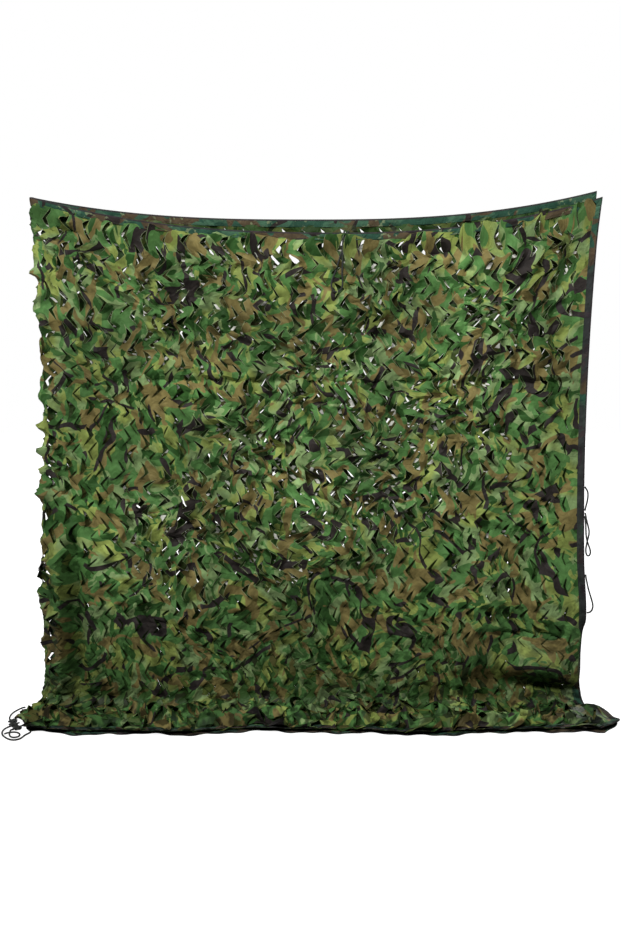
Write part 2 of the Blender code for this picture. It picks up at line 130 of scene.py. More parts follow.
# Slack cloth that hangs in short bulges and hollows near its foot
Swag = namedtuple("Swag", "x down half_length half_width turn_deg height")
SWAGS = (
    Swag(0.59, 1.198, 0.13, 0.036, 9, 0.032),
    Swag(0.63, 1.262, 0.10, 0.022, 13, -0.034),
)
SWAG_FADE = 0.015

# How the lying edges wander, by layer
Ruffle = namedtuple("Ruffle", "length start_back start_front forward lift")
RUFFLES = (
    Ruffle(0.31, 0.10, 0.55, 0.007, 0.0030),
    Ruffle(0.137, 0.70, 0.20, 0.005, 0.0026),
    Ruffle(0.061, 0.30, 0.85, 0.003, 0.0018),
)
RUFFLE_START = 0.06

# The side edges curl back between the middle of the net and the floor
CURL_START = 1.075
CURL_FADE = 0.045
CURL_WIDTH = 0.026
CURL_SPREAD = 0.150
CURL_ANGLE = math.radians(72)

# Waves of the foot of the net, forward and back
Wave = namedtuple("Wave", "length reach start")
WAVES = (
    Wave(0.71, 0.011, 0.10),
    Wave(0.29, 0.005, 0.17),
)

# Humps of the cloth that lies on the floor
Hump = namedtuple("Hump", "x forward half_length half_width turn_deg height")
HUMPS = (
    Hump(-0.69, 0.070, 0.136, 0.054, 20, 0.018),
    Hump(-0.55, 0.095, 0.192, 0.054, -14, 0.020),
    Hump(-0.38, 0.060, 0.176, 0.054, 10, 0.026),
    Hump(-0.22, 0.105, 0.176, 0.048, -16, 0.018),
    Hump(-0.05, 0.070, 0.192, 0.058, 12, 0.026),
    Hump(0.14, 0.100, 0.192, 0.051, -8, 0.020),
    Hump(0.33, 0.065, 0.192, 0.058, 14, 0.026),
    Hump(0.50, 0.100, 0.176, 0.051, -12, 0.020),
    Hump(0.71, 0.050, 0.160, 0.064, -18, 0.022),
)

# Where the leaves are pulled open: patches of the hanging cloth
Patch = namedtuple("Patch", "x down half_width half_height strength")
PATCH_EDGE = 1.6            # how sharply a patch of open leaves ends, and one of flat leaves
FLAT_PATCH_EDGE = 2.0
OPEN_PATCHES = (
    Patch(-0.20, 0.16, 0.95, 0.34, 0.72),
    Patch(0.08, 0.58, 0.55, 0.42, 0.9),
    Patch(-0.25, 0.82, 0.42, 0.29, 0.7),
    Patch(0.50, 0.25, 0.36, 0.36, 0.75),
    Patch(0.00, 1.42, 1.60, 0.16, 0.8),
)
# Where only the front layer's leaves stand out
FRONT_PATCHES = (*OPEN_PATCHES, Patch(-0.74, 0.60, 0.09, 0.80, 1.0))
BACK_OPEN_END = 1.20        # below this the leaves of the back layer stay still
# Patches where the leaves lie flat, and how flat
FLAT_PATCHES = (
    Patch(0.58, 1.17, 0.17, 0.09, 0.8),
    Patch(-0.52, 1.16, 0.12, 0.10, 0.7),
    Patch(-0.66, 1.10, 0.07, 0.24, 0.8),
)

# The openwork gives unevenly: how far points of it drift from where a plain sheet would have them
Drift = namedtuple("Drift", "length_along length_down start along down")
DRIFTS = (
    Drift(0.47, 0.61, 0.00, 0.008, 0.010),
    Drift(-0.31, 0.37, 0.40, 0.006, 0.007),
    Drift(0.83, -0.29, 0.20, 0.007, 0.005),
)
DRIFT_FADE = 0.12

# Facets of the reverse that are pale, between two distances down the cloth
PALE_START = 0.050
PALE_END = 1.00
PALE_SHARE = 0.55           # share of pale facets where the leaves are wide open
CLOSED_PALE_SHARE = 0.15    # how much of that share is left where they are shut
PALE_RANGE = (0.70, 1.00)

# ---------------------------------------------------------------- the leaves
# What a column and a row count for in the seed of each draw
LEAF_SEEDS = (1009, 9176)
PUSH_SEEDS = (7919, 104729)
PALE_SEEDS = (6007, 15101)

# How far a leaf turns out, is pulled short, gapes, nods, twists and slides, shut and open
Looseness = namedtuple("Looseness", "turn pull gape nod twist slide")
CLOSED = Looseness(math.radians(38), 0.00, 0.0050, math.radians(12), math.radians(4), 0.0010)
OPEN = Looseness(math.radians(54), 0.10, 0.0060, math.radians(24), math.radians(14), 0.0035)
BACK_CLOSED = Looseness(math.radians(16), 0.0, -0.0040, math.radians(6), math.radians(2), 0.0)
BACK_OPEN = Looseness(math.radians(24), 0.03, -0.0008, math.radians(12), math.radians(8), 0.0020)
TURN_SPREAD = 0.35
GAPE_SPREAD = 0.5
TOP_GAPE = 0.013            # how far the slits of the back layer's first row gape at the middle of the net
TOP_GAPE_RANGE = (-0.6, 2.0)
TOP_GAPE_REACH = 0.66
FLIPPED_SHARE = 0.30        # share of open leaves whose tip turns inwards
FLIP_EASING = 2.0
TIP_RISE = 0.673            # slope of a leaf at its middle, and how much it bends up to its tip
TIP_BEND = 12.6
DRAWN_SHARE = 0.20          # how much of the length that the bend takes up shows as a wider gap
# That length, by the first, second and third power of the distance towards the tip
BENT_LENGTH = (0.453, 16.95, 212.0)
FLOOR_CLEARANCE = 0.0012    # the least height of the cloth's middle above the level that it rests on

# Crumpled cloth: flat facets between points that are pushed about by chance
Crumple = namedtuple("Crumple", "aside out")
CRUMPLE_CLOSED = Crumple(0.0008, 0.0016)
CRUMPLE_OPEN = Crumple(0.0046, 0.0095)
BACK_CRUMPLE_CLOSED = Crumple(0.0002, 0.0016)
BACK_CRUMPLE_OPEN = Crumple(0.0028, 0.0057)
FOOT_CRUMPLE = 1.7          # how much more the front layer crumples where it lies
FACET_ROWS = 3
FACET_ANGLE = math.radians(28)
CRUMPLE_FADE = 0.020

# The front layer laps over its hems
LAP_REACH = 0.016           # how far it laps over the top hem and the bottom hem, and past their inner edge
FOOT_LAP_REACH = 0.036
LAP_LIMIT = 0.026
LAP_HEIGHT = 0.0055         # how far it stands off them
LAP_WIDTH = 0.045           # how wide the strip is that is moved, and how it begins and ends
LAP_START = 0.004
LAP_FADE = 0.030
LAP_MEAN = 0.6              # the share of all that on average, by chance, and how it varies along the hem
LAP_CHANCE = 0.6
LAP_UNEVENNESS = 1.2
LAP_WAVE = 0.12
RIGHT_LAP_GAIN = 0.9        # how much further it laps over the top hem from the middle to the right
RIGHT_LAP_START = 0.20
RIGHT_LAP_FULL = 0.45

# ---------------------------------------------------------------- hems
Section = namedtuple("Section", "inward height")
HEM_SECTION = (
    Section(0.0000, 0.0000),
    Section(0.0004, 0.0009),
    Section(0.0020, 0.0014),
    Section(0.0060, 0.0015),
    Section(0.0110, 0.0013),
    Section(0.0150, 0.0012),
    Section(0.0165, 0.0008),
    Section(0.0180, 0.0012),
    Section(0.0196, 0.0009),
    Section(0.0200, 0.0000),
)
HEM_STEP = 0.006
PUCKER = 0.0006             # how far the hem puckers, and how many puckers there are to a metre
PUCKERS_ALONG = 55.0
PUCKERS_INWARD = 90.0
SEAM_GAP = 0.0003
PROBE = 0.002               # how far apart the cloth is felt for its slope

# ---------------------------------------------------------------- cords
CORD_DIAMETER = 0.0045
CORD_STEP = 0.004
CORD_SIDES = 10
CORD_FIRST_SIDE = (0.3, 1.0, 0.2)   # any direction that isn't along a cord where it begins
CURVE_PARTS = 8

# Cord routes, in metres, from where each cord leaves the net to where it goes back in or ends.
# For LYING_CORDS the third value is the height above where the cord would touch the floor.
CORD_ROUTES = {
    "cord_top_loop": (
        (0.0790, -0.0106, -0.0300), (0.0788, -0.0107, -0.0370), (0.0780, -0.0122, -0.0440),
        (0.0768, -0.0145, -0.0510), (0.0756, -0.0165, -0.0590), (0.0746, -0.0180, -0.0690),
        (0.0742, -0.0186, -0.0800), (0.0746, -0.0184, -0.0950), (0.0750, -0.0180, -0.1100),
        (0.0742, -0.0175, -0.1250), (0.0740, -0.0170, -0.1410), (0.0750, -0.0165, -0.1560),
        (0.0750, -0.0160, -0.1690), (0.0710, -0.0160, -0.1790), (0.0630, -0.0160, -0.1860),
        (0.0550, -0.0160, -0.1850), (0.0480, -0.0160, -0.1780), (0.0460, -0.0160, -0.1670),
        (0.0480, -0.0160, -0.1560), (0.0520, -0.0160, -0.1450), (0.0570, -0.0155, -0.1330),
        (0.0610, -0.0150, -0.1200), (0.0650, -0.0145, -0.1080), (0.0690, -0.0140, -0.0940),
        (0.0740, -0.0136, -0.0800), (0.0795, -0.0132, -0.0680), (0.0845, -0.0125, -0.0560),
        (0.0876, -0.0114, -0.0460), (0.0890, -0.0107, -0.0380), (0.0892, -0.0106, -0.0300),
    ),
    "cord_side_upper": (
        (0.7243, -0.0018, -0.6990), (0.7255, -0.0026, -0.7030), (0.7283, -0.0038, -0.7070),
        (0.7308, -0.0046, -0.7130), (0.7318, -0.0050, -0.7220), (0.7312, -0.0048, -0.7330),
        (0.7294, -0.0040, -0.7440), (0.7276, -0.0030, -0.7530), (0.7264, -0.0022, -0.7600),
        (0.7261, -0.0018, -0.7640),
    ),
    "cord_side_middle": (
        (0.7263, -0.0030, -0.7700), (0.7272, -0.0055, -0.7755), (0.7288, -0.0075, -0.7850),
        (0.7315, -0.0085, -0.7960), (0.7345, -0.0085, -0.8070), (0.7368, -0.0085, -0.8170),
        (0.7370, -0.0085, -0.8270), (0.7352, -0.0082, -0.8370), (0.7332, -0.0080, -0.8460),
        (0.7315, -0.0078, -0.8560), (0.7303, -0.0072, -0.8670), (0.7312, -0.0062, -0.8780),
        (0.7352, -0.0052, -0.8862), (0.7408, -0.0042, -0.8860), (0.7438, -0.0032, -0.8780),
        (0.7420, -0.0028, -0.8680), (0.7380, -0.0022, -0.8570), (0.7342, -0.0016, -0.8460),
        (0.7314, -0.0012, -0.8320), (0.7303, -0.0010, -0.8190), (0.7295, -0.0010, -0.8050),
        (0.7283, -0.0010, -0.7920), (0.7270, -0.0012, -0.7840), (0.7265, -0.0012, -0.7790),
    ),
    "cord_side_lower": (
        (0.7336, -0.0010, -0.9390), (0.7343, -0.0018, -0.9460), (0.7362, -0.0030, -0.9560),
        (0.7384, -0.0040, -0.9660), (0.7410, -0.0048, -0.9770), (0.7440, -0.0054, -0.9870),
        (0.7472, -0.0056, -0.9970), (0.7505, -0.0056, -1.0070), (0.7535, -0.0052, -1.0170),
        (0.7548, -0.0046, -1.0270), (0.7530, -0.0038, -1.0360), (0.7485, -0.0030, -1.0420),
        (0.7440, -0.0022, -1.0440), (0.7396, -0.0014, -1.0445),
    ),
    "cord_foot_outer": (
        (-0.7676, -0.1474, 0.0048), (-0.7720, -0.1500, 0.0040), (-0.7765, -0.1530, 0.0024),
        (-0.7820, -0.1560, 0.0008), (-0.7880, -0.1610, 0.0), (-0.7940, -0.1700, 0.0),
        (-0.7985, -0.1840, 0.0), (-0.7985, -0.2020, 0.0), (-0.7930, -0.2210, 0.0),
        (-0.7830, -0.2370, 0.0), (-0.7710, -0.2500, 0.0), (-0.7590, -0.2570, 0.0),
        (-0.7480, -0.2555, 0.0), (-0.7400, -0.2460, 0.0), (-0.7365, -0.2320, 0.0),
        (-0.7335, -0.2210, 0.0), (-0.7290, -0.2125, 0.0), (-0.7265, -0.2065, 0.0),
        (-0.7260, -0.2010, 0.0),
    ),
    "cord_foot_inner": (
        (-0.7544, -0.1682, 0.0048), (-0.7590, -0.1712, 0.0040), (-0.7640, -0.1745, 0.0026),
        (-0.7690, -0.1790, 0.0012), (-0.7730, -0.1850, 0.0012), (-0.7755, -0.1940, 0.0032),
        (-0.7765, -0.2030, 0.0050), (-0.7765, -0.2120, 0.0032), (-0.7745, -0.2230, 0.0006),
        (-0.7690, -0.2340, 0.0), (-0.7600, -0.2400, 0.0), (-0.7515, -0.2370, 0.0),
        (-0.7480, -0.2280, 0.0), (-0.7500, -0.2170, 0.0), (-0.7570, -0.2075, 0.0),
        (-0.7660, -0.2035, 0.0), (-0.7765, -0.2045, 0.0), (-0.7840, -0.2085, 0.0),
        (-0.7890, -0.2150, 0.0),
    ),
    "cord_foot_edge": (
        (-0.7801, -0.0360, 0.0066), (-0.7850, -0.0345, 0.0055), (-0.7905, -0.0345, 0.0036),
        (-0.7965, -0.0375, 0.0016), (-0.8020, -0.0445, 0.0002), (-0.8060, -0.0560, 0.0),
        (-0.8080, -0.0700, 0.0), (-0.8080, -0.0850, 0.0), (-0.8060, -0.1000, 0.0),
        (-0.8020, -0.1130, 0.0), (-0.7965, -0.1230, 0.0008), (-0.7900, -0.1290, 0.0024),
        (-0.7835, -0.1294, 0.0042), (-0.7785, -0.1271, 0.0048),
    ),
}
LYING_CORDS = ("cord_foot_outer", "cord_foot_inner", "cord_foot_edge")

# Overhand knots on the cords: the cord, the place along it and the turn of the knot
Knot = namedtuple("Knot", "cord x y turn_deg")
KNOTS = (
    Knot("cord_foot_outer", -0.7820, -0.1570, 20),
    Knot("cord_foot_inner", -0.7665, -0.1780, 75),
    Knot("cord_foot_edge", -0.7900, -0.1290, 130),
)
KNOT_RADIUS = 0.0070        # from the middle of a knot to the middle of its band
KNOT_SWING = 0.0034         # how far the cord swings to the sides of the band there, and how high it rises
KNOT_RISE = 0.0022
KNOT_ROUNDS = 2
KNOT_LOOPS = 5
KNOT_POINTS = 120


def smooth(value):
    """Ease a value from 0 to 1 without a kink."""
    value = min(1.0, max(0.0, value))
    return value * value * (3.0 - 2.0 * value)


def mix(start, end, share):
    """Go from one value to another by a share."""
    return start + (end - start) * share


# ---------------------------------------------------------------- camera and light
CAMERA_PLACE = (-0.008, -3.03, -0.233)
CAMERA_DIP = 7.7            # degrees
CAMERA_LENS = 44.43
CAMERA_SENSOR = 36.0
ROOM_LIGHT = 0.055          # how bright the white surroundings are as a light

Sun = namedtuple("Sun", "name facing power spread_deg")
SUNS = (
    Sun("sky", (0.50, 0.75, -1.0), 2.26, 12),
    Sun("sky_behind", (-0.40, -0.75, -0.70), 2.6, 20),
)
KEY_PLACE = (0.0, -1.7, 1.2)
KEY_TARGET = (0.0, 0.0, -0.4)
KEY_SIZE = 0.8
KEY_POWER = 32.0


def set_camera():
    """A camera in front of the net, a little above its middle, that looks slightly down."""
    camera = bpy.data.cameras.new("camera")
    camera.lens = CAMERA_LENS
    camera.sensor_width = CAMERA_SENSOR
    stand = bpy.data.objects.new("camera", camera)
    stand.location = CAMERA_PLACE
    stand.rotation_euler = (math.radians(90 - CAMERA_DIP), 0.0, 0.0)
    bpy.context.scene.collection.objects.link(stand)
    bpy.context.scene.camera = stand


def hang_lamp(lamp, place, facing):
    """Put a lamp in its place, facing a direction."""
    stand = bpy.data.objects.new(lamp.name, lamp)
    stand.location = place
    stand.rotation_euler = facing.to_track_quat("-Z", "Y").to_euler()
    bpy.context.scene.collection.objects.link(stand)


def light_studio():
    """White surroundings that give little light of their own, a soft lamp and two soft skies."""
    world = bpy.data.worlds.new("studio")
    world.use_nodes = True
    nodes, links = world.node_tree.nodes, world.node_tree.links
    ray = nodes.new("ShaderNodeLightPath")
    strength = nodes.new("ShaderNodeMapRange")
    strength.inputs["To Min"].default_value = ROOM_LIGHT
    strength.inputs["To Max"].default_value = 1.0
    links.new(ray.outputs["Is Camera Ray"], strength.inputs["Value"])
    links.new(strength.outputs[0], nodes["Background"].inputs["Strength"])
    nodes["Background"].inputs["Color"].default_value = WHITE
    bpy.context.scene.world = world
    bpy.context.scene.view_settings.view_transform = "Standard"
    key = bpy.data.lights.new("key", "AREA")
    key.shape = "SQUARE"
    key.size = KEY_SIZE
    key.energy = KEY_POWER
    hang_lamp(key, KEY_PLACE, Vector(KEY_TARGET) - Vector(KEY_PLACE))
    for sky in SUNS:
        sun = bpy.data.lights.new(sky.name, "SUN")
        sun.energy = sky.power
        sun.angle = math.radians(sky.spread_deg)
        hang_lamp(sun, (0.0, 0.0, 0.0), Vector(sky.facing))


# ---------------------------------------------------------------- finishes
class Reading:
    """A shader socket that can be used in sums."""

    def __init__(self, finish, socket):
        self.finish = finish
        self.socket = socket

    def sum(self, operation, first, second):
        return self.finish.node("ShaderNodeMath", {"operation": operation}, {0: first, 1: second})

    def __add__(self, other):
        return self.sum("ADD", self, other)

    def __radd__(self, other):
        return self.sum("ADD", other, self)

    def __sub__(self, other):
        return self.sum("SUBTRACT", self, other)

    def __rsub__(self, other):
        return self.sum("SUBTRACT", other, self)

    def __mul__(self, other):
        return self.sum("MULTIPLY", self, other)

    def __rmul__(self, other):
        return self.sum("MULTIPLY", other, self)

    def __truediv__(self, other):
        return self.sum("DIVIDE", self, other)

    def __abs__(self):
        return self.finish.node("ShaderNodeMath", {"operation": "ABSOLUTE"}, {0: self})


class Finish:
    """A material whose nodes are made one by one."""

    def __init__(self, name):
        self.material = bpy.data.materials.new(name)
        self.material.use_nodes = True
        self.tree = self.material.node_tree
        self.shader = self.tree.nodes["Principled BSDF"]

    def node(self, kind, settings=None, inputs=None, output=0):
        """Add a node with its settings first, then the values or links of its sockets."""
        made = self.tree.nodes.new(kind)
        for name, value in (settings or {}).items():
            setattr(made, name, value)
        for name, value in (inputs or {}).items():
            self.join(made.inputs[name], value)
        return Reading(self, made.outputs[output])

    def join(self, socket, value):
        """Give a socket a value or link it to a reading."""
        if isinstance(value, Reading):
            self.tree.links.new(value.socket, socket)
        else:
            socket.default_value = value

    def set(self, name, value):
        """Give the surface shader's own socket a value or a link."""
        self.join(self.shader.inputs[name], value)

    def map_place(self, name):
        """The place on one of the piece's own maps, in metres."""
        return self.node("ShaderNodeUVMap", {"uv_map": name})

    def parts(self, place):
        """The two values of a place on a map."""
        outputs = self.node("ShaderNodeSeparateXYZ", {}, {"Vector": place}).socket.node.outputs
        return Reading(self, outputs["X"]), Reading(self, outputs["Y"])

    def carried(self, name):
        """A value that the mesh carries."""
        return self.node("ShaderNodeAttribute", {"attribute_name": name}, output=2)

    def moved(self, place, shift):
        """The same place, with the pattern shifted."""
        return self.node("ShaderNodeMapping", {}, {"Vector": place, "Location": (*shift, 0.0)})

    def cloud(self, place, cloud):
        """Cloudy noise, from 0 to 1."""
        return self.node("ShaderNodeTexNoise", {"noise_dimensions": "2D"}, {
            "Vector": self.moved(place, cloud.shift), "Scale": cloud.scale,
            "Detail": cloud.detail, "Distortion": cloud.distortion,
        })

    def bands(self, place, direction, inputs):
        """Bands that follow each other in a direction, from 0 to 1."""
        inputs = {"Vector": place, **inputs}
        return self.node("ShaderNodeTexWave", {"bands_direction": direction}, inputs, output=1)

    def step(self, reading, low, high):
        """From 0 at a low reading to 1 at a high one."""
        return self.node("ShaderNodeMapRange", {"interpolation_type": "SMOOTHSTEP"}, {
            "Value": reading, "From Min": low, "From Max": high,
        })

    def spots(self, place, spots):
        """1 on the spots of a cloud and 0 between them."""
        return self.step(self.cloud(place, spots.cloud), spots.start, spots.full)

    def blend(self, share, first, second):
        """Mix two colours."""
        return self.node("ShaderNodeMix", {"data_type": "RGBA"}, {0: share, 6: first, 7: second}, output=2)

    def shaded(self, colour, brightness):
        """A colour, brighter or darker."""
        return self.node("ShaderNodeHueSaturation", {}, {"Value": brightness, "Color": colour})

    def bump(self, height, distance, strength, under=None):
        """Raise the surface by a height reading."""
        inputs = {"Height": height, "Distance": distance, "Strength": strength}
        if under is not None:
            inputs["Normal"] = under
        return self.node("ShaderNodeBump", {}, inputs)


WHITE = (1.0, 1.0, 1.0, 1.0)
UNLIT = (0.0, 0.0, 0.0, 1.0)
FLOOR_GREY = (0.32, 0.32, 0.32, 1.0)
MID_GREEN = (0.074, 0.178, 0.048, 1.0)
LIGHT_GREEN = (0.195, 0.290, 0.115, 1.0)
OLIVE_GREEN = (0.218, 0.272, 0.066, 1.0)
DARK_GREEN = (0.029, 0.084, 0.018, 1.0)
BROWN = (0.182, 0.148, 0.051, 1.0)
BLACK = (0.027, 0.022, 0.020, 1.0)
# painted shade: the reverse is made dark to stand for the shade between the two layers
REVERSE_PAINTED_SHADE = (0.012, 0.024, 0.004, 1.0)
REVERSE_PALE = (0.720, 0.710, 0.650, 1.0)
# pale frayed threads, also a painted highlight on lit leaf rims; the hem's scuffs use it as wear
FRAYED_AND_HIGHLIGHT = (0.250, 0.300, 0.160, 1.0)
# a painted shadow line along the slits where the leaves lie shut
SLIT_PAINTED_SHADOW = (0.007, 0.016, 0.002, 1.0)
HEM_TEAL = (0.026, 0.075, 0.048, 1.0)
HEM_PALE_TEAL = (0.050, 0.115, 0.070, 1.0)
HEM_BROWN = (0.085, 0.062, 0.036, 1.0)
HEM_PLUM = (0.034, 0.028, 0.032, 1.0)
THREAD = (0.040, 0.070, 0.045, 1.0)
CORD_BLACK = (0.010, 0.012, 0.011, 1.0)
CORD_GREY = (0.032, 0.036, 0.032, 1.0)

# Clouds of noise: how far they are moved over the cloth, spots per metre, fine detail and distortion
Cloud = namedtuple("Cloud", "shift scale detail distortion")
FADING = Cloud((0.0, 0.0), 42.0, 5.0, 0.0)
# SHADING paints broad patches of light and shade into the print's brightness
SHADING = Cloud((5.7, 0.9), 4.0, 2.0, 0.0)
CREASING = Cloud((0.0, 0.0), 45.0, 3.0, 0.5)
HEM_FADING = Cloud((0.0, 0.0), 38.0, 4.0, 0.0)
# a cloud that makes the edge of the painted shade at the foot ragged
SHADE_EDGE = Cloud((0.0, 0.0), 5.0, 2.0, 0.0)

# Spots of such a cloud: the cloud, and between which of its values a spot begins and is full
Spots = namedtuple("Spots", "cloud start full")
YELLOWED = Spots(Cloud((4.4, 6.1), 10.0, 1.0, 0.0), 0.42, 0.58)
LIGHT_SPOTS = Spots(Cloud((8.3, 5.2), 18.0, 2.0, 0.6), 0.493, 0.509)
DARK_SPOTS = Spots(Cloud((1.4, 9.6), 18.0, 2.0, 0.6), 0.600, 0.612)
BROWN_SPOTS = Spots(Cloud((3.1, 1.7), 15.0, 2.0, 0.6), 0.572, 0.586)
HEM_LIGHT_SPOTS = Spots(Cloud((8.3, 5.2), 11.0, 2.0, 0.6), 0.510, 0.530)
HEM_BROWN_SPOTS = Spots(Cloud((3.1, 1.7), 9.0, 2.0, 0.6), 0.540, 0.555)
HEM_PLUM_SPOTS = Spots(Cloud((0.6, 2.2), 5.0, 1.0, 0.0), 0.40, 0.46)
SCUFFS = Spots(Cloud((0.0, 0.0), 75.0, 2.0, 0.0), 0.58, 0.66)
SCUFFED_PLACES = Spots(Cloud((7.7, 3.3), 9.0, 1.0, 0.0), 0.54, 0.60)
# blotches in the painted shade at the foot
SHADE_SPOTS = Spots(Cloud((9.1, 3.8), 45.0, 2.0, 0.0), 0.40, 0.60)

# The black branches of the print: how far they are moved, the way they wind and half their width
Branches = namedtuple("Branches", "shift direction half_width")
PRINT_BRANCHES = (
    Branches((6.6, 2.9), "X", 0.100),
    Branches((2.2, 7.3), "Y", 0.120),
)
HEM_BRANCHES = Branches((6.6, 2.9), "X", 0.060)
BRANCH_WINDING = {"Scale": 3.4, "Distortion": 13.0, "Detail": 1.5, "Detail Scale": 1.8}
BRANCH_BLUR = 0.020
BRANCH_PIECES = Spots(Cloud((0.0, 0.0), 11.0, 1.0, 0.3), 0.560, 0.575)

# How bright the print and the hem are: where the cloud is 0, and how much that gains
FADING_RANGE = (0.48, 0.87)
SHADING_RANGE = (0.25, 1.50)
HEM_FADING_RANGE = (0.45, 1.00)
REVERSE_STRENGTH = 0.28     # how far the print shows on the reverse

# Cut edges, pale frayed threads with a painted highlight where the leaves are open and a painted shadow line
# where they are shut: which part of a lip they take up, where leaves are shut and open, and how strong they
# are
LIP_RANGE = (0.78, 0.92)
LIP_OPEN_RANGE = (0.15, 0.50)
LIP_STRENGTH = 0.75
OPEN_LIP_LOSS = 0.25

# Painted shade: how much darker it makes the foot of the net, its lying part on top of that, and its sides
FOOT_SHADE_SHARE = 0.31
FOOT_SHADE_RANGE = (0.86, 1.25)
LYING_SHADE_SHARE = 0.18
LYING_SHADE_RANGE = (1.29, 1.37)
SIDE_SHADE_SHARE = 0.17
SIDE_SHADE_RANGE = (0.76, 1.02)
SIDE_RANGE = (0.55, 0.72)   # from the middle of the net to the sides
SHADE_RAGGEDNESS = 0.10
SHADE_BETWEEN_SPOTS = 0.4
SHADE_SPOT_GAIN = 1.2

# The hem: plum where it has aged, at its rim and less where it lies, scuffed where it hasn't aged
AGED_RANGE = (0.13, 0.20)
PLUM_SHARE = 0.85
LYING_PLUM_LOSS = 0.6
RIM_RANGE = (0.0048, 0.0036)
SCUFF_SHARE = 0.6
STITCH_LINE = 0.0165
STITCH_LENGTH = 0.0042
STITCH_EDGE = (0.0005, 0.0002)
STITCH_END = (0.42, 0.30)

WEAVE_SCALE = {"Scale": 170.0}
WEAVE_HEIGHT = 0.0002
WEAVE_STRENGTH = 0.5
CREASING_HEIGHT = 0.006
STITCH_HEIGHT = 0.0006
BRAID_SCALE = {"Scale": 420.0}
BRAID_HEIGHT = 0.0004
RELIEF_STRENGTH = 0.8


def branch_lines(finish, place, branches):
    """1 on winding branches that are broken off here and there."""
    bands = finish.bands(finish.moved(place, branches.shift), branches.direction, BRANCH_WINDING)
    stem = finish.step(bands, branches.half_width + BRANCH_BLUR, branches.half_width)
    broken = BRANCH_PIECES.cloud._replace(shift=(branches.shift[1], branches.shift[0]))
    return stem * finish.spots(place, BRANCH_PIECES._replace(cloud=broken))


def woodland_print(finish, place):
    """Green cloth with lighter, darker and brown patches and black branches."""
    light_green = finish.blend(finish.spots(place, YELLOWED), LIGHT_GREEN, OLIVE_GREEN)
    colour = finish.blend(finish.spots(place, LIGHT_SPOTS), MID_GREEN, light_green)
    colour = finish.blend(finish.spots(place, DARK_SPOTS), colour, DARK_GREEN)
    colour = finish.blend(finish.spots(place, BROWN_SPOTS), colour, BROWN)
    for branches in PRINT_BRANCHES:
        colour = finish.blend(branch_lines(finish, place, branches), colour, BLACK)
    return colour


def weave_bump(finish, place):
    """Fine plain weave over soft creases."""
    creased = finish.bump(finish.cloud(place, CREASING), CREASING_HEIGHT, RELIEF_STRENGTH)
    weave = finish.bands(place, "X", WEAVE_SCALE) * finish.bands(place, "Y", WEAVE_SCALE)
    return finish.bump(weave, WEAVE_HEIGHT, WEAVE_STRENGTH, creased)


def edge_wear_and_painted_light(finish, colour):
    """The colour with its cut edges: pale threads, partly a painted highlight on lit rims, where the leaves
    are open, and a painted shadow line where they lie shut.
    """
    openness = finish.carried("openness")
    # the edge colour: painted shadow where shut, pale threads with a painted highlight where open
    edge_colour = finish.blend(finish.step(openness, *LIP_OPEN_RANGE), SLIT_PAINTED_SHADOW, FRAYED_AND_HIGHLIGHT)
    strength = (LIP_STRENGTH - OPEN_LIP_LOSS * openness) * finish.step(finish.carried("lip"), *LIP_RANGE)
    return finish.blend(strength, colour, edge_colour)


def painted_foot_and_side_shade(finish, place):
    """1 on most of the cloth, less towards its foot and its lower sides: painted shade, in blotches."""
    along, down = finish.parts(place)
    ragged = down + SHADE_RAGGEDNESS * finish.cloud(place, SHADE_EDGE)
    blotches = SHADE_BETWEEN_SPOTS + SHADE_SPOT_GAIN * finish.spots(place, SHADE_SPOTS)
    foot_shade_mask, painted_shade = finish.step(ragged, *FOOT_SHADE_RANGE), finish.step(ragged, *LYING_SHADE_RANGE)
    at_foot = FOOT_SHADE_SHARE * foot_shade_mask + LYING_SHADE_SHARE * painted_shade
    from_middle = abs(abs(along - NET_LENGTH / 2) - NET_LENGTH / 4)
    at_sides = finish.step(from_middle, *SIDE_RANGE) * finish.step(ragged, *SIDE_SHADE_RANGE)
    return 1.0 - at_foot * blotches - SIDE_SHADE_SHARE * at_sides


def uneven(finish, place, cloud, brightness):
    """A brightness that changes with a cloud."""
    return brightness[0] + brightness[1] * finish.cloud(place, cloud)


def printed_finish():
    """The printed side of the cloth."""
    finish = Finish("woodland_print")
    place = finish.map_place("flat")
    # the print's brightness: random fading, broad painted light and shade, and painted shade at the foot and
    # lower sides
    brightness = uneven(finish, place, FADING, FADING_RANGE) * uneven(finish, place, SHADING, SHADING_RANGE)
    faded_and_shaded = finish.shaded(woodland_print(finish, place), brightness * painted_foot_and_side_shade(finish, place))
    finish.set("Base Color", edge_wear_and_painted_light(finish, faded_and_shaded))
    finish.set("Roughness", 0.62)
    finish.set("Specular IOR Level", 0.12)
    finish.set("Normal", weave_bump(finish, place))
    return finish.material


def reverse_finish():
    """The other side of the cloth: painted shade, dark with a little of the print in it, with pale facets of
    the reverse's own colour in places.
    """
    finish = Finish("painted_shade_reverse")
    place = finish.map_place("flat")
    # painted shade on the reverse, with a little of the print in it
    painted_shade = finish.blend(REVERSE_STRENGTH, REVERSE_PAINTED_SHADE, woodland_print(finish, place))
    finish.set("Base Color", edge_wear_and_painted_light(finish, finish.blend(finish.carried("paleness"), painted_shade, REVERSE_PALE)))
    finish.set("Roughness", 0.5)
    finish.set("Specular IOR Level", 0.12)
    finish.set("Normal", weave_bump(finish, place))
    return finish.material


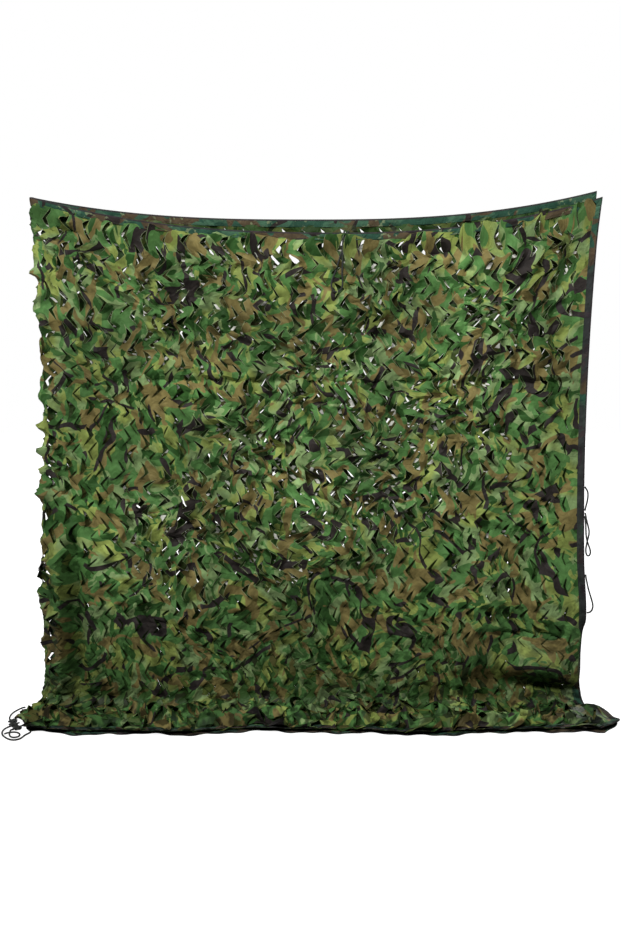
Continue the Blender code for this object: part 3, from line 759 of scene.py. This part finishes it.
def hem_colour(finish, place, inward):
    """The hem's own print, darker than the cloth's, with plum and scuffed places."""
    down = finish.parts(place)[1]
    aged = finish.step(down, *AGED_RANGE)
    lying = finish.step(down, HANG, LYING_SHADE_RANGE[0])
    colour = finish.blend(finish.spots(place, HEM_LIGHT_SPOTS), HEM_TEAL, HEM_PALE_TEAL)
    colour = finish.blend(finish.spots(place, HEM_BROWN_SPOTS), colour, HEM_BROWN)
    colour = finish.blend(branch_lines(finish, place, HEM_BRANCHES), colour, BLACK)
    plum = PLUM_SHARE * aged * finish.spots(place, HEM_PLUM_SPOTS) * (1.0 - LYING_PLUM_LOSS * lying)
    colour = finish.blend(plum, colour, HEM_PLUM)
    scuffed = SCUFF_SHARE * finish.spots(place, SCUFFS) * finish.spots(place, SCUFFED_PLACES) * (1.0 - aged)
    colour = finish.blend(scuffed, colour, FRAYED_AND_HIGHLIGHT)
    colour = finish.blend(PLUM_SHARE * finish.step(inward, *RIM_RANGE), colour, HEM_PLUM)
    # the hem also takes the painted shade towards the foot and the lower sides
    return finish.shaded(colour, uneven(finish, place, HEM_FADING, HEM_FADING_RANGE) * painted_foot_and_side_shade(finish, place))


def hem_finish():
    """The hem: doubled cloth with a row of stitches near its inner edge."""
    finish = Finish("hem")
    place = finish.map_place("flat")
    run, inward = finish.parts(finish.map_place("seam"))
    on_row = finish.step(abs(inward - STITCH_LINE), *STITCH_EDGE)
    along_stitch = finish.node("ShaderNodeMath", {"operation": "FRACT"}, {0: run / STITCH_LENGTH})
    stitch = on_row * finish.step(abs(along_stitch - 0.5), *STITCH_END)
    finish.set("Base Color", finish.blend(stitch, hem_colour(finish, place, inward), THREAD))
    finish.set("Roughness", 0.8)
    finish.set("Specular IOR Level", 0.08)
    finish.set("Normal", finish.bump(stitch, STITCH_HEIGHT, RELIEF_STRENGTH, weave_bump(finish, place)))
    return finish.material


def cord_finish():
    """Dark braided cord."""
    finish = Finish("braided_cord")
    braid = finish.bands(finish.map_place("flat"), "DIAGONAL", BRAID_SCALE)
    finish.set("Base Color", finish.blend(braid, CORD_BLACK, CORD_GREY))
    finish.set("Roughness", 0.7)
    finish.set("Normal", finish.bump(braid, BRAID_HEIGHT, RELIEF_STRENGTH))
    return finish.material


def floor_finish():
    """Plain pale floor, which the camera sees as bright as the surroundings."""
    finish = Finish("pale_floor")
    finish.set("Base Color", FLOOR_GREY)
    finish.set("Roughness", 0.9)
    finish.set("Emission Color", finish.blend(finish.node("ShaderNodeLightPath"), UNLIT, WHITE))
    finish.set("Emission Strength", 0.95)
    return finish.material


# ---------------------------------------------------------------- how the cloth hangs
def edge_at(down, side):
    """How far a side edge reaches at a distance down the cloth."""
    last = len(EDGES) - 1
    lower = max(0, min(last - 1, sum(row.down <= down for row in EDGES) - 1))
    rows = [EDGES[min(last, max(0, lower + step))] for step in (-1, 0, 1, 2)]
    downs = [row.down for row in rows]
    before, start, end, after = (getattr(row, side) for row in rows)
    span = downs[2] - downs[1]
    share = min(1.0, max(0.0, (down - downs[1]) / span))
    slope_start = (end - before) / (downs[2] - downs[0]) * span
    slope_end = (after - start) / (downs[3] - downs[1]) * span
    square, cube = share ** 2, share ** 3
    return ((2 * cube - 3 * square + 1) * start + (cube - 2 * square + share) * slope_start
            + (3 * square - 2 * cube) * end + (cube - square) * slope_end)


HANG = -FLOOR_LEVEL - BEND_RADIUS - LYING_HALF_GAP - BINDING_THICKNESS / 2
FOLD_LENGTH = math.pi * HANGING_HALF_GAP
LAYER_LENGTH = (NET_LENGTH - FOLD_LENGTH) / 2
EDGE_ROWS = [
    (edge_at(row * ROW, "left"), edge_at(row * ROW, "right_back"), edge_at(row * ROW, "right_front"))
    for row in range(ROWS + 1)
]


def side_edges(down):
    """The three side edges at a distance down the cloth, read between the rows."""
    row = min(ROWS - 1, max(0, int(down / ROW)))
    share = down / ROW - row
    return [mix(start, end, share) for start, end in zip(EDGE_ROWS[row], EDGE_ROWS[row + 1])]


def half_gap(down):
    """Half the distance between the two layers."""
    closing = smooth((down - HANG + GAP_EASING) / GAP_EASING)
    return mix(HANGING_HALF_GAP, LYING_HALF_GAP, closing)


def top_edge_height(across):
    """Height of the top edge, from 0 at the fold to 1 at the side edges."""
    middle = abs(2.0 * across - 1.0)
    return TOP_SAG * (middle ** SAG_POWER) + TOP_TILT * (across - 0.5) * middle


def turned_shares(mound, run, side):
    """How far along and across a turned mound a place is, in its half length and half width."""
    turn = math.radians(mound.turn_deg)
    lengthwise = (run * math.cos(turn) + side * math.sin(turn)) / mound.half_length
    crosswise = (side * math.cos(turn) - run * math.sin(turn)) / mound.half_width
    return lengthwise, crosswise


def fold_height(x, down, z):
    """How far the folds and creases push the hanging cloth forward."""
    height = 0.0
    for fold in FOLDS:
        run = (down - fold.down_top) / (fold.down_foot - fold.down_top)
        if not 0.0 < run < 1.0:
            continue
        distance = (x - mix(fold.x_top, fold.x_foot, run)) / fold.half_width
        if abs(distance) < 3.0:
            height += fold.height * smooth(min(run, 1.0 - run) / FOLD_FADE) * math.exp(-distance ** 2)
    for crease in CREASES:
        share = (x - crease.x_left) / (crease.x_right - crease.x_left)
        if not 0.0 < share < 1.0:
            continue
        fade = smooth(min(x - crease.x_left, crease.x_right - x) / CREASE_FADE)
        distance = abs(-z - mix(crease.below_left, crease.below_right, share))
        height -= crease.depth * fade * max(0.0, 1.0 - distance / crease.half_width)
    for swag in SWAGS:
        lengthwise, crosswise = turned_shares(swag, x - swag.x, down - swag.down)
        bulge = math.exp(-lengthwise ** 2 - crosswise ** 2)
        height += swag.height * bulge * smooth((HANG - down) / SWAG_FADE)
    return height


def foot_shift(x, down):
    """How far forward the waves of the foot bring the cloth, from nothing at the top edge."""
    waves = sum(wave.reach * math.sin(2 * math.pi * (x - wave.start) / wave.length) for wave in WAVES)
    return waves * smooth(down / HANG) ** 2


def hump_height(x, forward):
    """How far the lying cloth is lifted off the floor."""
    height = 0.0
    for hump in HUMPS:
        reach = math.hypot(*turned_shares(hump, x - hump.x, forward - hump.forward))
        height = max(height, hump.height * smooth(1.0 - reach))
    return height * smooth(forward / HUMP_START)


def edge_curl(x, along, down):
    """Where the side edges curl back low down: the new x, and how far back."""
    strength = smooth((down - CURL_START) / CURL_FADE) * smooth((HANG - down) / CURL_FADE)
    angle = CURL_ANGLE * strength
    from_edge = min(along, NET_LENGTH - along)
    x += CURL_WIDTH * (1.0 - math.cos(angle)) * smooth(1.0 - (from_edge - CURL_WIDTH) / CURL_SPREAD)
    past = max(0.0, CURL_WIDTH - from_edge)
    return x - past * (1.0 - math.cos(angle)), past * math.sin(angle)


def ruffle(x, run, front):
    """How far forward and up the lying edges wander."""
    forward = lift = 0.0
    for wave in RUFFLES:
        swing = math.sin(2 * math.pi * (x / wave.length + mix(wave.start_back, wave.start_front, front)))
        forward += wave.forward * swing
        lift += wave.lift * (1.0 + swing)
    share = smooth((run - RUFFLE_START) / RUFFLE_START)
    return forward * share, lift * share * front


def drape(along, down):
    """Where a point of the flat cloth hangs or lies."""
    gap = half_gap(down)
    turn = math.pi * min(1.0, max(0.0, (along - LAYER_LENGTH) / FOLD_LENGTH))
    front = (1.0 - math.cos(turn)) / 2
    if along < NET_LENGTH / 2:
        across = 1.0 - min(1.0, along / LAYER_LENGTH)
    else:
        across = max(0.0, (along - LAYER_LENGTH - FOLD_LENGTH) / LAYER_LENGTH)
    left, right_back, right_front = side_edges(down)
    right = mix(right_back, right_front, front)
    x = mix(left, right, across) - gap * math.sin(turn)
    outward = gap * math.cos(turn)
    if down <= HANG:
        lift = smooth(1.0 - down / HANG)
        extra_sag = front * lift * (FRONT_SAG * 4 * across * (1 - across) + FRONT_CORNER_DROP * across)
        z = mix(top_edge_height(across) - extra_sag, -HANG, down / HANG)
        x, turned_back = edge_curl(x, along, down)
        return Vector((x, outward + turned_back - fold_height(x, down, z) - foot_shift(x, down), z))
    angle = min(math.pi / 2, (down - HANG) / BEND_RADIUS)
    radius = BEND_RADIUS + outward
    run = max(0.0, down - HANG - math.pi / 2 * BEND_RADIUS)
    forward = BEND_RADIUS - radius * math.cos(angle) + run
    z = -HANG - radius * math.sin(angle)
    wander, lift = ruffle(x, run, front)
    return Vector((x, -forward - wander - foot_shift(x, down), z + lift + hump_height(x, run)))


# ---------------------------------------------------------------- the leaf-cut cloth
def edge_share(column):
    """0 at the side edges of the cloth, 1 away from them."""
    distance = min(column, COLUMNS - column) * COLUMN - BINDING_WIDTH
    return smooth(distance / EDGE_EASING)


def flat_point(column, row):
    """A flat point of the grid, whose lines swing in a zigzag down the cloth."""
    phase = (row - FIRST_SLIT_ROW) % CELL_ROWS / CELL_ROWS
    sharp, rounded = 1.0 - abs(2.0 * phase - 1.0), 0.5 - 0.5 * math.cos(2 * math.pi * phase)
    swing = ZIGZAG * mix(sharp, rounded, ROUNDED_SHARE)
    return column * COLUMN + (swing - ZIGZAG / 2) * edge_share(column), row * ROW


def is_cut(column, row):
    """Whether a slit runs through a point of the grid."""
    line = column % CELL_COLUMNS
    if line not in (0, RIGHT_SLIT_COLUMN) or not CELL_COLUMNS <= column <= COLUMNS - CELL_COLUMNS:
        return False
    first = FIRST_SLIT_ROW if line == 0 else FIRST_SLIT_ROW + CELL_ROWS // 2
    last = LAST_SLIT_ROW if line else LAST_SLIT_ROW - CELL_ROWS // 2
    middle = first + round((row - first) / CELL_ROWS) * CELL_ROWS
    return first <= middle <= last and abs(row - middle) < SLIT_REACH


def strongest(patches, x, down, edge):
    """How strong the strongest of some patches is at a place."""
    strengths = [0.0]
    for patch in patches:
        reach = math.hypot((x - patch.x) / patch.half_width, (down - patch.down) / patch.half_height)
        strengths.append(patch.strength * smooth(edge * (1.0 - reach)))
    return max(strengths)


def openness_at(x, down, patches=OPEN_PATCHES):
    """How far the leaves are pulled open at a place."""
    return strongest(patches, x, down, PATCH_EDGE)


Leaf = namedtuple(
    "Leaf", "middle_along middle_down way turn nod twist pull gape slide_along slide_down strength",
)
STILL = Leaf(0.0, 0.0, 1, 0.0, 0.0, 0.0, 0.0, 0.0, 0.0, 0.0, 0.0)


def make_leaf(cell, row, points_left):
    """The pose of the leaf between two slits of one row: it turns, nods, slides and curls."""
    if not FIRST_SLIT_ROW <= row <= LAST_SLIT_ROW:
        return STILL
    column = cell * CELL_COLUMNS + CELL_COLUMNS / 2
    if not points_left:
        column += RIGHT_SLIT_COLUMN
    if not 0 < column < COLUMNS:
        return STILL
    along, down = flat_point(column, row)
    in_front = along > LAYER_LENGTH
    if not in_front and down > BACK_OPEN_END:
        return STILL
    dice = random.Random(cell * LEAF_SEEDS[0] + row * LEAF_SEEDS[1] + points_left)
    x = drape(along, down).x
    openness = openness_at(x, down, FRONT_PATCHES if in_front else OPEN_PATCHES)
    closed, opened = (CLOSED, OPEN) if in_front else (BACK_CLOSED, BACK_OPEN)
    loose = Looseness(*(mix(start, end, openness) for start, end in zip(closed, opened)))
    gape = loose.gape
    if not in_front and row <= FIRST_SLIT_ROW + CELL_ROWS // 2:
        gape = mix(TOP_GAPE * dice.uniform(*TOP_GAPE_RANGE), gape, smooth(abs(x) / TOP_GAPE_REACH))
    turn = loose.turn * (1.0 + TURN_SPREAD * dice.uniform(-1, 1))
    if dice.random() < FLIPPED_SHARE * smooth(FLIP_EASING * openness):
        turn = -turn
    return Leaf(
        along, down, -1 if points_left else 1, turn,
        loose.nod * dice.uniform(-1, 1),
        loose.twist * dice.uniform(-1, 1),
        loose.pull,
        gape * (1.0 + GAPE_SPREAD * dice.uniform(-1, 1)),
        loose.slide * dice.uniform(-1, 1),
        loose.slide * dice.uniform(-1, 1),
        edge_share(column) * (1.0 - strongest(FLAT_PATCHES, x, down, FLAT_PATCH_EDGE)),
    )


def leaf_move(leaf, along, down):
    """How a leaf moves a flat point of it: along the cloth, down it, and out of it."""
    tipward = (along - leaf.middle_along) * leaf.way
    below = down - leaf.middle_down
    rise = math.sin(abs(leaf.turn))
    side = 1 if leaf.turn >= 0 else -1
    out = rise * (side * TIP_RISE * tipward + TIP_BEND * tipward ** 2)
    first, second, third = BENT_LENGTH
    drawn = DRAWN_SHARE * rise ** 2 * (first * tipward + side * second * tipward ** 2 + third * tipward ** 3)
    shrink = -leaf.way * (drawn + leaf.pull * tipward)
    twist = math.sin(leaf.twist)
    return Vector((
        (shrink + leaf.slide_along - below * twist) * leaf.strength,
        (leaf.slide_down + leaf.way * tipward * twist) * leaf.strength,
        (out + below * math.sin(leaf.nod)) * leaf.strength,
    ))


def leaf_share(rows_away):
    """From 0 on the middle line of a leaf, where it has a crease, to 1 at the ends of its slit."""
    return min(1.0, max(0.0, rows_away / SLIT_REACH))


def cell_place(column, side):
    """The cell that a column of the grid is in, and its number there. The side tells the lips of a slit."""
    cell, local = divmod(column, CELL_COLUMNS)
    return (cell - 1, CELL_COLUMNS) if local == 0 and side < 0 else (cell, local)


def point_move(leaves, column, row, side):
    """How the two leaves that share a point of the grid move it."""
    cell, local = cell_place(column, side)
    if local < RIGHT_SLIT_COLUMN or (local == RIGHT_SLIT_COLUMN and side < 0):
        to_right_slit = local / RIGHT_SLIT_COLUMN
        right_leaf_cell = cell - 1
    else:
        to_right_slit = 1.0 - (local - RIGHT_SLIT_COLUMN) / (CELL_COLUMNS - RIGHT_SLIT_COLUMN)
        right_leaf_cell = cell
    left_row = FIRST_SLIT_ROW + round((row - FIRST_SLIT_ROW) / CELL_ROWS) * CELL_ROWS
    rows_away = abs(row - left_row)
    right_row = left_row + (CELL_ROWS // 2 if row >= left_row else -(CELL_ROWS // 2))
    at_left_line = leaf_share(rows_away)
    at_right_line = 1.0 - leaf_share(CELL_ROWS // 2 - rows_away)
    share = mix(at_left_line, at_right_line, to_right_slit)
    along, down = flat_point(column, row)
    move = Vector((0.0, 0.0, 0.0))
    if is_cut(column, row):
        on_left_line = column % CELL_COLUMNS == 0
        leaf = leaves(cell, left_row, True) if on_left_line else leaves(right_leaf_cell, right_row, False)
        from_middle = (rows_away if on_left_line else abs(row - right_row)) / SLIT_REACH
        move.x += side * leaf.gape / 2 * (1.0 - from_middle ** 3) * leaf.strength
    if share < 1.0:
        move += leaf_move(leaves(cell, left_row, True), along, down) * (1.0 - share)
    if share > 0.0:
        move += leaf_move(leaves(right_leaf_cell, right_row, False), along, down) * share
    return move


def chance_push(pushes, column, row, side):
    """How chance pushes a point between facets, from -1 to 1 each way. Both lips of a slit have their own."""
    key = (column, row, side if is_cut(column, row) else 0)
    if key not in pushes:
        dice = random.Random(column * PUSH_SEEDS[0] + row * PUSH_SEEDS[1] + key[2])
        pushes[key] = Vector((dice.uniform(-1, 1), dice.uniform(-1, 1), dice.uniform(-1, 1)))
    return pushes[key]


def facet_push(pushes, column, row, side):
    """How chance pushes any point of the grid, from the four corners of its facet."""
    cell, local = cell_place(column, side)
    left, right = 0, RIGHT_SLIT_COLUMN
    if local > RIGHT_SLIT_COLUMN or (local == RIGHT_SLIT_COLUMN and side > 0):
        left, right = RIGHT_SLIT_COLUMN, CELL_COLUMNS
    across = (local - left) / (right - left)
    left, right = cell * CELL_COLUMNS + left, cell * CELL_COLUMNS + right
    upper = FIRST_SLIT_ROW + math.floor((row - FIRST_SLIT_ROW) / FACET_ROWS) * FACET_ROWS
    top, foot = (
        chance_push(pushes, left, line, 1).lerp(chance_push(pushes, right, line, -1), across)
        for line in (upper, upper + FACET_ROWS)
    )
    return top.lerp(foot, (row - upper) / FACET_ROWS)


def hem_lap(x, row, lying, chance):
    """How the front layer laps over its top or bottom hem: down the cloth and out of it."""
    to_top, to_foot = row * ROW - BINDING_WIDTH, (ROWS - row) * ROW - BINDING_WIDTH
    near = min(to_top, to_foot)
    if near >= LAP_WIDTH:
        return Vector((0.0, 0.0, 0.0))
    wander = 1.0 + LAP_UNEVENNESS * noise.noise(Vector((x / LAP_WAVE, to_top / NET_HEIGHT, 0.0)))
    lap = smooth(near / LAP_START) * smooth((LAP_WIDTH - near) / LAP_FADE)
    lap = lap * (LAP_MEAN + LAP_CHANCE * chance) * wander
    rightward = smooth((x - RIGHT_LAP_START) / (RIGHT_LAP_FULL - RIGHT_LAP_START))
    top_reach = LAP_REACH * (1.0 + RIGHT_LAP_GAIN * rightward)
    reach = min(lap * mix(top_reach, FOOT_LAP_REACH, lying), near + LAP_LIMIT)
    return Vector((0.0, math.copysign(reach, to_top - to_foot), LAP_HEIGHT * lap))


def crumple(pushes, x, column, row, side):
    """How the crumpling moves a point of the grid: along, down and out."""
    border = min(column, COLUMNS - column) * COLUMN
    border = min(border, row * ROW, (ROWS - row) * ROW) - BINDING_WIDTH
    if border <= 0.0:
        return Vector((0.0, 0.0, 0.0))
    down = row * ROW
    lying = smooth((down - HANG) / CRUMPLE_FADE)
    if column > FOLD_COLUMN:
        openness = openness_at(x, down, FRONT_PATCHES)
        least, most, strength = CRUMPLE_CLOSED, CRUMPLE_OPEN, mix(1.0, FOOT_CRUMPLE, lying)
    else:
        openness = openness_at(x, down)
        least, most, strength = BACK_CRUMPLE_CLOSED, BACK_CRUMPLE_OPEN, 1.0 - lying
    strength *= smooth(border / CRUMPLE_FADE)
    aside = strength * mix(least.aside, most.aside, openness)
    out = strength * mix(least.out, most.out, openness)
    push = facet_push(pushes, column, row, side)
    move = Vector((push.x * aside, push.y * aside, push.z * out))
    if column > FOLD_COLUMN:
        move += hem_lap(x, row, lying, push.z)
    return move


def facet_paleness(x, column, row):
    """How pale the reverse of a facet is. Chance picks the facets, more of them where the leaves are open."""
    down = row * ROW
    if not PALE_START < down < PALE_END:
        return 0.0
    cell, local = divmod(column, CELL_COLUMNS)
    facet_row, facet_part = divmod(row - FIRST_SLIT_ROW, FACET_ROWS)
    dice = random.Random(cell * PALE_SEEDS[0] + facet_row * PALE_SEEDS[1] + (local >= RIGHT_SLIT_COLUMN))
    share = PALE_SHARE * mix(CLOSED_PALE_SHARE, 1.0, openness_at(x, down))
    printed_row, printed_column = dice.randrange(FACET_ROWS), dice.randrange(RIGHT_SLIT_COLUMN)
    if facet_part == printed_row or local % RIGHT_SLIT_COLUMN == printed_column:
        return 0.0
    return dice.uniform(*PALE_RANGE) if dice.random() < share else 0.0


def drifted(along, down):
    """Where on a plain hung sheet a flat point of the openwork comes to lie."""
    border = min(along, NET_LENGTH - along, down, NET_HEIGHT - down) - BINDING_WIDTH
    fade = smooth(border / DRIFT_FADE)
    for drift in DRIFTS:
        phase = 2 * math.pi * (along / drift.length_along + down / drift.length_down + drift.start)
        along += fade * drift.along * math.sin(phase)
        down += fade * drift.down * math.cos(phase)
    return along, down


def hanging_grid():
    """Where every point of the grid hangs, by column and row."""
    return [
        [drape(*drifted(*flat_point(column, row))) for row in range(ROWS + 1)]
        for column in range(COLUMNS + 1)
    ]


def local_axes(grid, column, row):
    """Along, down and outwards at a point of the hanging grid."""
    left, right = grid[max(0, column - 1)][row], grid[min(COLUMNS, column + 1)][row]
    above, below = grid[column][max(0, row - 1)], grid[column][min(ROWS, row + 1)]
    along = (right - left).normalized()
    outward = (below - above).cross(along).normalized()
    return along, along.cross(outward), outward


def add_map(mesh, name, points):
    """A UV map of a mesh, from a flat place for each of its points."""
    layer = mesh.uv_layers.new(name=name)
    for loop in mesh.loops:
        layer.data[loop.index].uv = points[loop.vertex_index]


def new_piece(name, mesh):
    """An object with a mesh of its own."""
    piece = bpy.data.objects.new(name, mesh)
    bpy.context.scene.collection.objects.link(piece)
    return piece


def thicken(piece):
    """Give a sheet its thickness, its reverse the second finish and its facets sharp edges."""
    skin = piece.modifiers.new("thickness", "SOLIDIFY")
    skin.thickness = CLOTH_THICKNESS
    skin.offset = -1.0
    skin.material_offset = 1
    skin.material_offset_rim = 0
    bpy.ops.object.select_all(action="DESELECT")
    bpy.context.view_layer.objects.active = piece
    piece.select_set(True)
    bpy.ops.object.modifier_apply(modifier=skin.name)
    bpy.ops.object.shade_smooth_by_angle(angle=FACET_ANGLE)
    piece.select_set(False)


def cloth_layer(name, grid, leaves, columns, finishes):
    """One layer of the leaf-cut cloth, some columns of the grid, as a thin sheet with its slits open."""
    places, flats, lips, open_shares, faces, paleness = [], [], [], [], [], []
    numbers, pushes = {}, {}

    def corner(column, row, side):
        cut = is_cut(column, row)
        key = (column, row, side if cut else 0)
        if key not in numbers:
            along_way, down_way, outward = local_axes(grid, column, row)
            x, down = grid[column][row].x, row * ROW
            move = point_move(leaves, column, row, side) + crumple(pushes, x, column, row, side)
            place = grid[column][row] + along_way * move.x + down_way * move.y + outward * move.z
            place.z = max(place.z, FLOOR_LEVEL + FLOOR_CLEARANCE)
            numbers[key] = len(places)
            places.append(place)
            flats.append(flat_point(column, row))
            lips.append(1.0 if cut else 0.0)
            open_shares.append(openness_at(x, down) if down < PALE_END else 0.0)
        return numbers[key]

    for column in columns:
        for row in range(ROWS):
            paleness.append(facet_paleness(grid[column][row].x, column, row))
            faces.append((
                corner(column, row, 1), corner(column, row + 1, 1),
                corner(column + 1, row + 1, -1), corner(column + 1, row, -1),
            ))
    mesh = bpy.data.meshes.new(name)
    mesh.from_pydata(places, [], faces)
    add_map(mesh, "flat", flats)
    for value_name, domain, values in (
        ("lip", "POINT", lips), ("openness", "POINT", open_shares), ("paleness", "FACE", paleness),
    ):
        mesh.attributes.new(value_name, "FLOAT", domain).data.foreach_set("value", values)
    for finish in finishes:
        mesh.materials.append(finish)
    mesh.shade_smooth()
    piece = new_piece(name, mesh)
    thicken(piece)
    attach(piece, "root")
    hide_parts("net_cloth")
    return piece


def make_net(hems):
    """Both layers of the net, from one flat grid."""
    poses = {}

    def leaves(cell, row, points_left):
        key = (cell, row, points_left)
        if key not in poses:
            poses[key] = make_leaf(cell, row, points_left)
        return poses[key]

    grid = hanging_grid()
    finishes = (printed_finish(), reverse_finish())
    back = cloth_layer("net_back_layer", grid, leaves, range(FOLD_COLUMN), finishes)
    front = cloth_layer("net_front_layer", grid, leaves, range(FOLD_COLUMN, COLUMNS), finishes)


# ---------------------------------------------------------------- making hems
def outward_at(along, down):
    """Direction square to the draped cloth, away from the other layer."""
    along = min(NET_LENGTH - PROBE, max(PROBE, along))
    down = min(NET_HEIGHT - PROBE, max(PROBE, down))
    run = drape(along + PROBE, down) - drape(along - PROBE, down)
    fall = drape(along, down + PROBE) - drape(along, down - PROBE)
    return fall.cross(run).normalized()


def tube_faces(sides, rings, closed=False):
    """The faces of a tube of rings, with its ends filled or joined to each other."""
    faces = []
    for ring in range(rings if closed else rings - 1):
        start, after = ring * sides, (ring + 1) % rings * sides
        for side in range(sides):
            beside = (side + 1) % sides
            faces.append((start + side, start + beside, after + beside, after + side))
    if not closed:
        faces.append(tuple(range(sides)))
        faces.append(tuple(reversed(range((rings - 1) * sides, rings * sides))))
    return faces


def tube_piece(name, places, faces, maps, finish):
    """A smooth closed piece with its UV maps, its normals turned outwards."""
    mesh = bpy.data.meshes.new(name)
    mesh.from_pydata(places, [], faces)
    for map_name, points in maps.items():
        add_map(mesh, map_name, points)
    shape = bmesh.new()
    shape.from_mesh(mesh)
    bmesh.ops.recalc_face_normals(shape, faces=shape.faces)
    shape.to_mesh(mesh)
    shape.free()
    mesh.materials.append(finish)
    mesh.shade_smooth()
    piece = new_piece(name, mesh)
    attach(piece, "root")
    return piece


def make_hem(name, flat_at, length, finish):
    """A folded strip sewn over a border of the cloth. flat_at turns a place on it to a flat point."""
    ring = [*HEM_SECTION, *(Section(part.inward, -part.height) for part in reversed(HEM_SECTION[1:-1]))]
    steps = round(length / HEM_STEP)
    places, flats, seams = [], [], []
    for step in range(steps + 1):
        run = length * step / steps
        for inward, height in ring:
            along, down = flat_at(run, inward)
            pucker = PUCKER * noise.noise(Vector((run * PUCKERS_ALONG, inward * PUCKERS_INWARD, len(name))))
            places.append(drape(along, down) + outward_at(along, down) * (height + pucker))
            flats.append((along, down))
            seams.append((run, inward))
    faces = tube_faces(len(ring), steps + 1)
    return tube_piece(name, places, faces, {"flat": flats, "seam": seams}, finish)


def make_hems():
    """The four hems: round the top and the bottom, and down both side edges."""
    finish = hem_finish()
    inner = BINDING_WIDTH + SEAM_GAP
    side_length = NET_HEIGHT - 2 * inner
    hems = {
        "binding_top": (lambda run, inward: (run, inward), NET_LENGTH),
        "binding_bottom": (lambda run, inward: (run, NET_HEIGHT - inward), NET_LENGTH),
        "binding_side_back": (lambda run, inward: (inward, inner + run), side_length),
        "binding_side_front": (lambda run, inward: (NET_LENGTH - inward, inner + run), side_length),
    }
    made = {}
    for node, (flat_at, length) in hems.items():
        piece = make_hem(node.replace("binding", "hem"), flat_at, length, finish)
        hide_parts(node)
        made[node] = piece
    return made


# ---------------------------------------------------------------- making cords
def curve_through(route, step):
    """Points about a step apart on a smooth curve through a route's own points."""
    points = [Vector(point) for point in route]
    padded = [points[0] * 2 - points[1], *points, points[-1] * 2 - points[-2]]
    fine = []
    for before, start, end, after in zip(padded, padded[1:], padded[2:], padded[3:]):
        for part in range(CURVE_PARTS):
            share = part / CURVE_PARTS
            fine.append(0.5 * (2 * start + (end - before) * share
                               + (2 * before - 5 * start + 4 * end - after) * share ** 2
                               + (3 * start - before - 3 * end + after) * share ** 3))
    fine.append(points[-1])
    lengths = [0.0]
    for start, end in zip(fine, fine[1:]):
        lengths.append(lengths[-1] + (end - start).length)
    count = round(lengths[-1] / step)
    spaced, place = [], 0
    for index in range(count + 1):
        target = lengths[-1] * index / count
        while place < len(fine) - 2 and lengths[place + 1] < target:
            place += 1
        share = (target - lengths[place]) / (lengths[place + 1] - lengths[place])
        spaced.append(fine[place].lerp(fine[place + 1], min(1.0, share)))
    return spaced, lengths[-1]


def cord_piece(name, path, sides_at, runs, closed, finish):
    """A round cord along a path, from a direction square to it and the run of the weave at each point."""
    places, weave = [], []
    for point, (side, across), run in zip(path, sides_at, runs):
        for turn in range(CORD_SIDES):
            angle = 2 * math.pi * turn / CORD_SIDES
            places.append(point + (side * math.cos(angle) + across * math.sin(angle)) * CORD_DIAMETER / 2)
            weave.append((run, CORD_DIAMETER * math.pi * turn / CORD_SIDES))
    faces = tube_faces(CORD_SIDES, len(path), closed)
    piece = tube_piece(name, places, faces, {"flat": weave}, finish)
    return piece


def make_knot(name, knot, finish):
    """A knot in a cord that lies on the floor: a ring of small loops."""
    path, sides_at, runs = [], [], []
    for index in range(KNOT_POINTS):
        angle = 2 * math.pi * index / KNOT_POINTS
        turn = math.radians(knot.turn_deg) + KNOT_ROUNDS * angle
        radius = KNOT_RADIUS + KNOT_SWING * math.cos(KNOT_LOOPS * angle)
        z = FLOOR_LEVEL + (CORD_DIAMETER / 2 + KNOT_RISE * (1.0 + math.sin(KNOT_LOOPS * angle)))
        path.append(Vector((knot.x + radius * math.cos(turn), knot.y + radius * math.sin(turn), z)))
        runs.append(index * KNOT_ROUNDS * 2 * math.pi * KNOT_RADIUS / KNOT_POINTS)
    for index in range(KNOT_POINTS):
        way = (path[(index + 1) % KNOT_POINTS] - path[index - 1]).normalized()
        side = way.cross(Vector((0.0, 0.0, 1.0))).normalized()
        sides_at.append((side, way.cross(side)))
    return cord_piece(name.replace("cord", "knot"), path, sides_at, runs, True, finish)


def make_cord(name, route, finish):
    """A braided cord along its route, with its knots."""
    base = FLOOR_LEVEL + CORD_DIAMETER / 2 if name in LYING_CORDS else 0.0
    path, length = curve_through(route, CORD_STEP)
    path = [point + Vector((0.0, 0.0, base)) for point in path]
    last = len(path) - 1
    side = Vector(CORD_FIRST_SIDE)
    sides_at = []
    for index in range(last + 1):
        way = (path[min(index + 1, last)] - path[max(index - 1, 0)]).normalized()
        side = (side - way * side.dot(way)).normalized()
        sides_at.append((side, way.cross(side)))
    runs = [length * index / last for index in range(last + 1)]
    piece = cord_piece(name.replace("cord", "tie"), path, sides_at, runs, False, finish)
    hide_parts(name)
    knots = [make_knot(name, knot, finish) for knot in KNOTS if knot.cord == name]


def make_cords():
    """Every cord loop of the net."""
    finish = cord_finish()
    for name, route in CORD_ROUTES.items():
        make_cord(name, route, finish)


def make_floor():
    """A plain floor under the foot of the net."""
    bpy.ops.object.select_all(action="DESELECT")
    bpy.ops.mesh.primitive_plane_add(size=FLOOR_SIZE, location=(0.0, 0.0, FLOOR_LEVEL - FLOOR_GAP))
    floor = bpy.context.object
    floor.name = "floor"
    bpy.ops.object.transform_apply(location=True, rotation=True, scale=True)
    floor.data.materials.append(floor_finish())


set_camera()
make_cords()
light_studio()
make_floor()
make_net(make_hems())
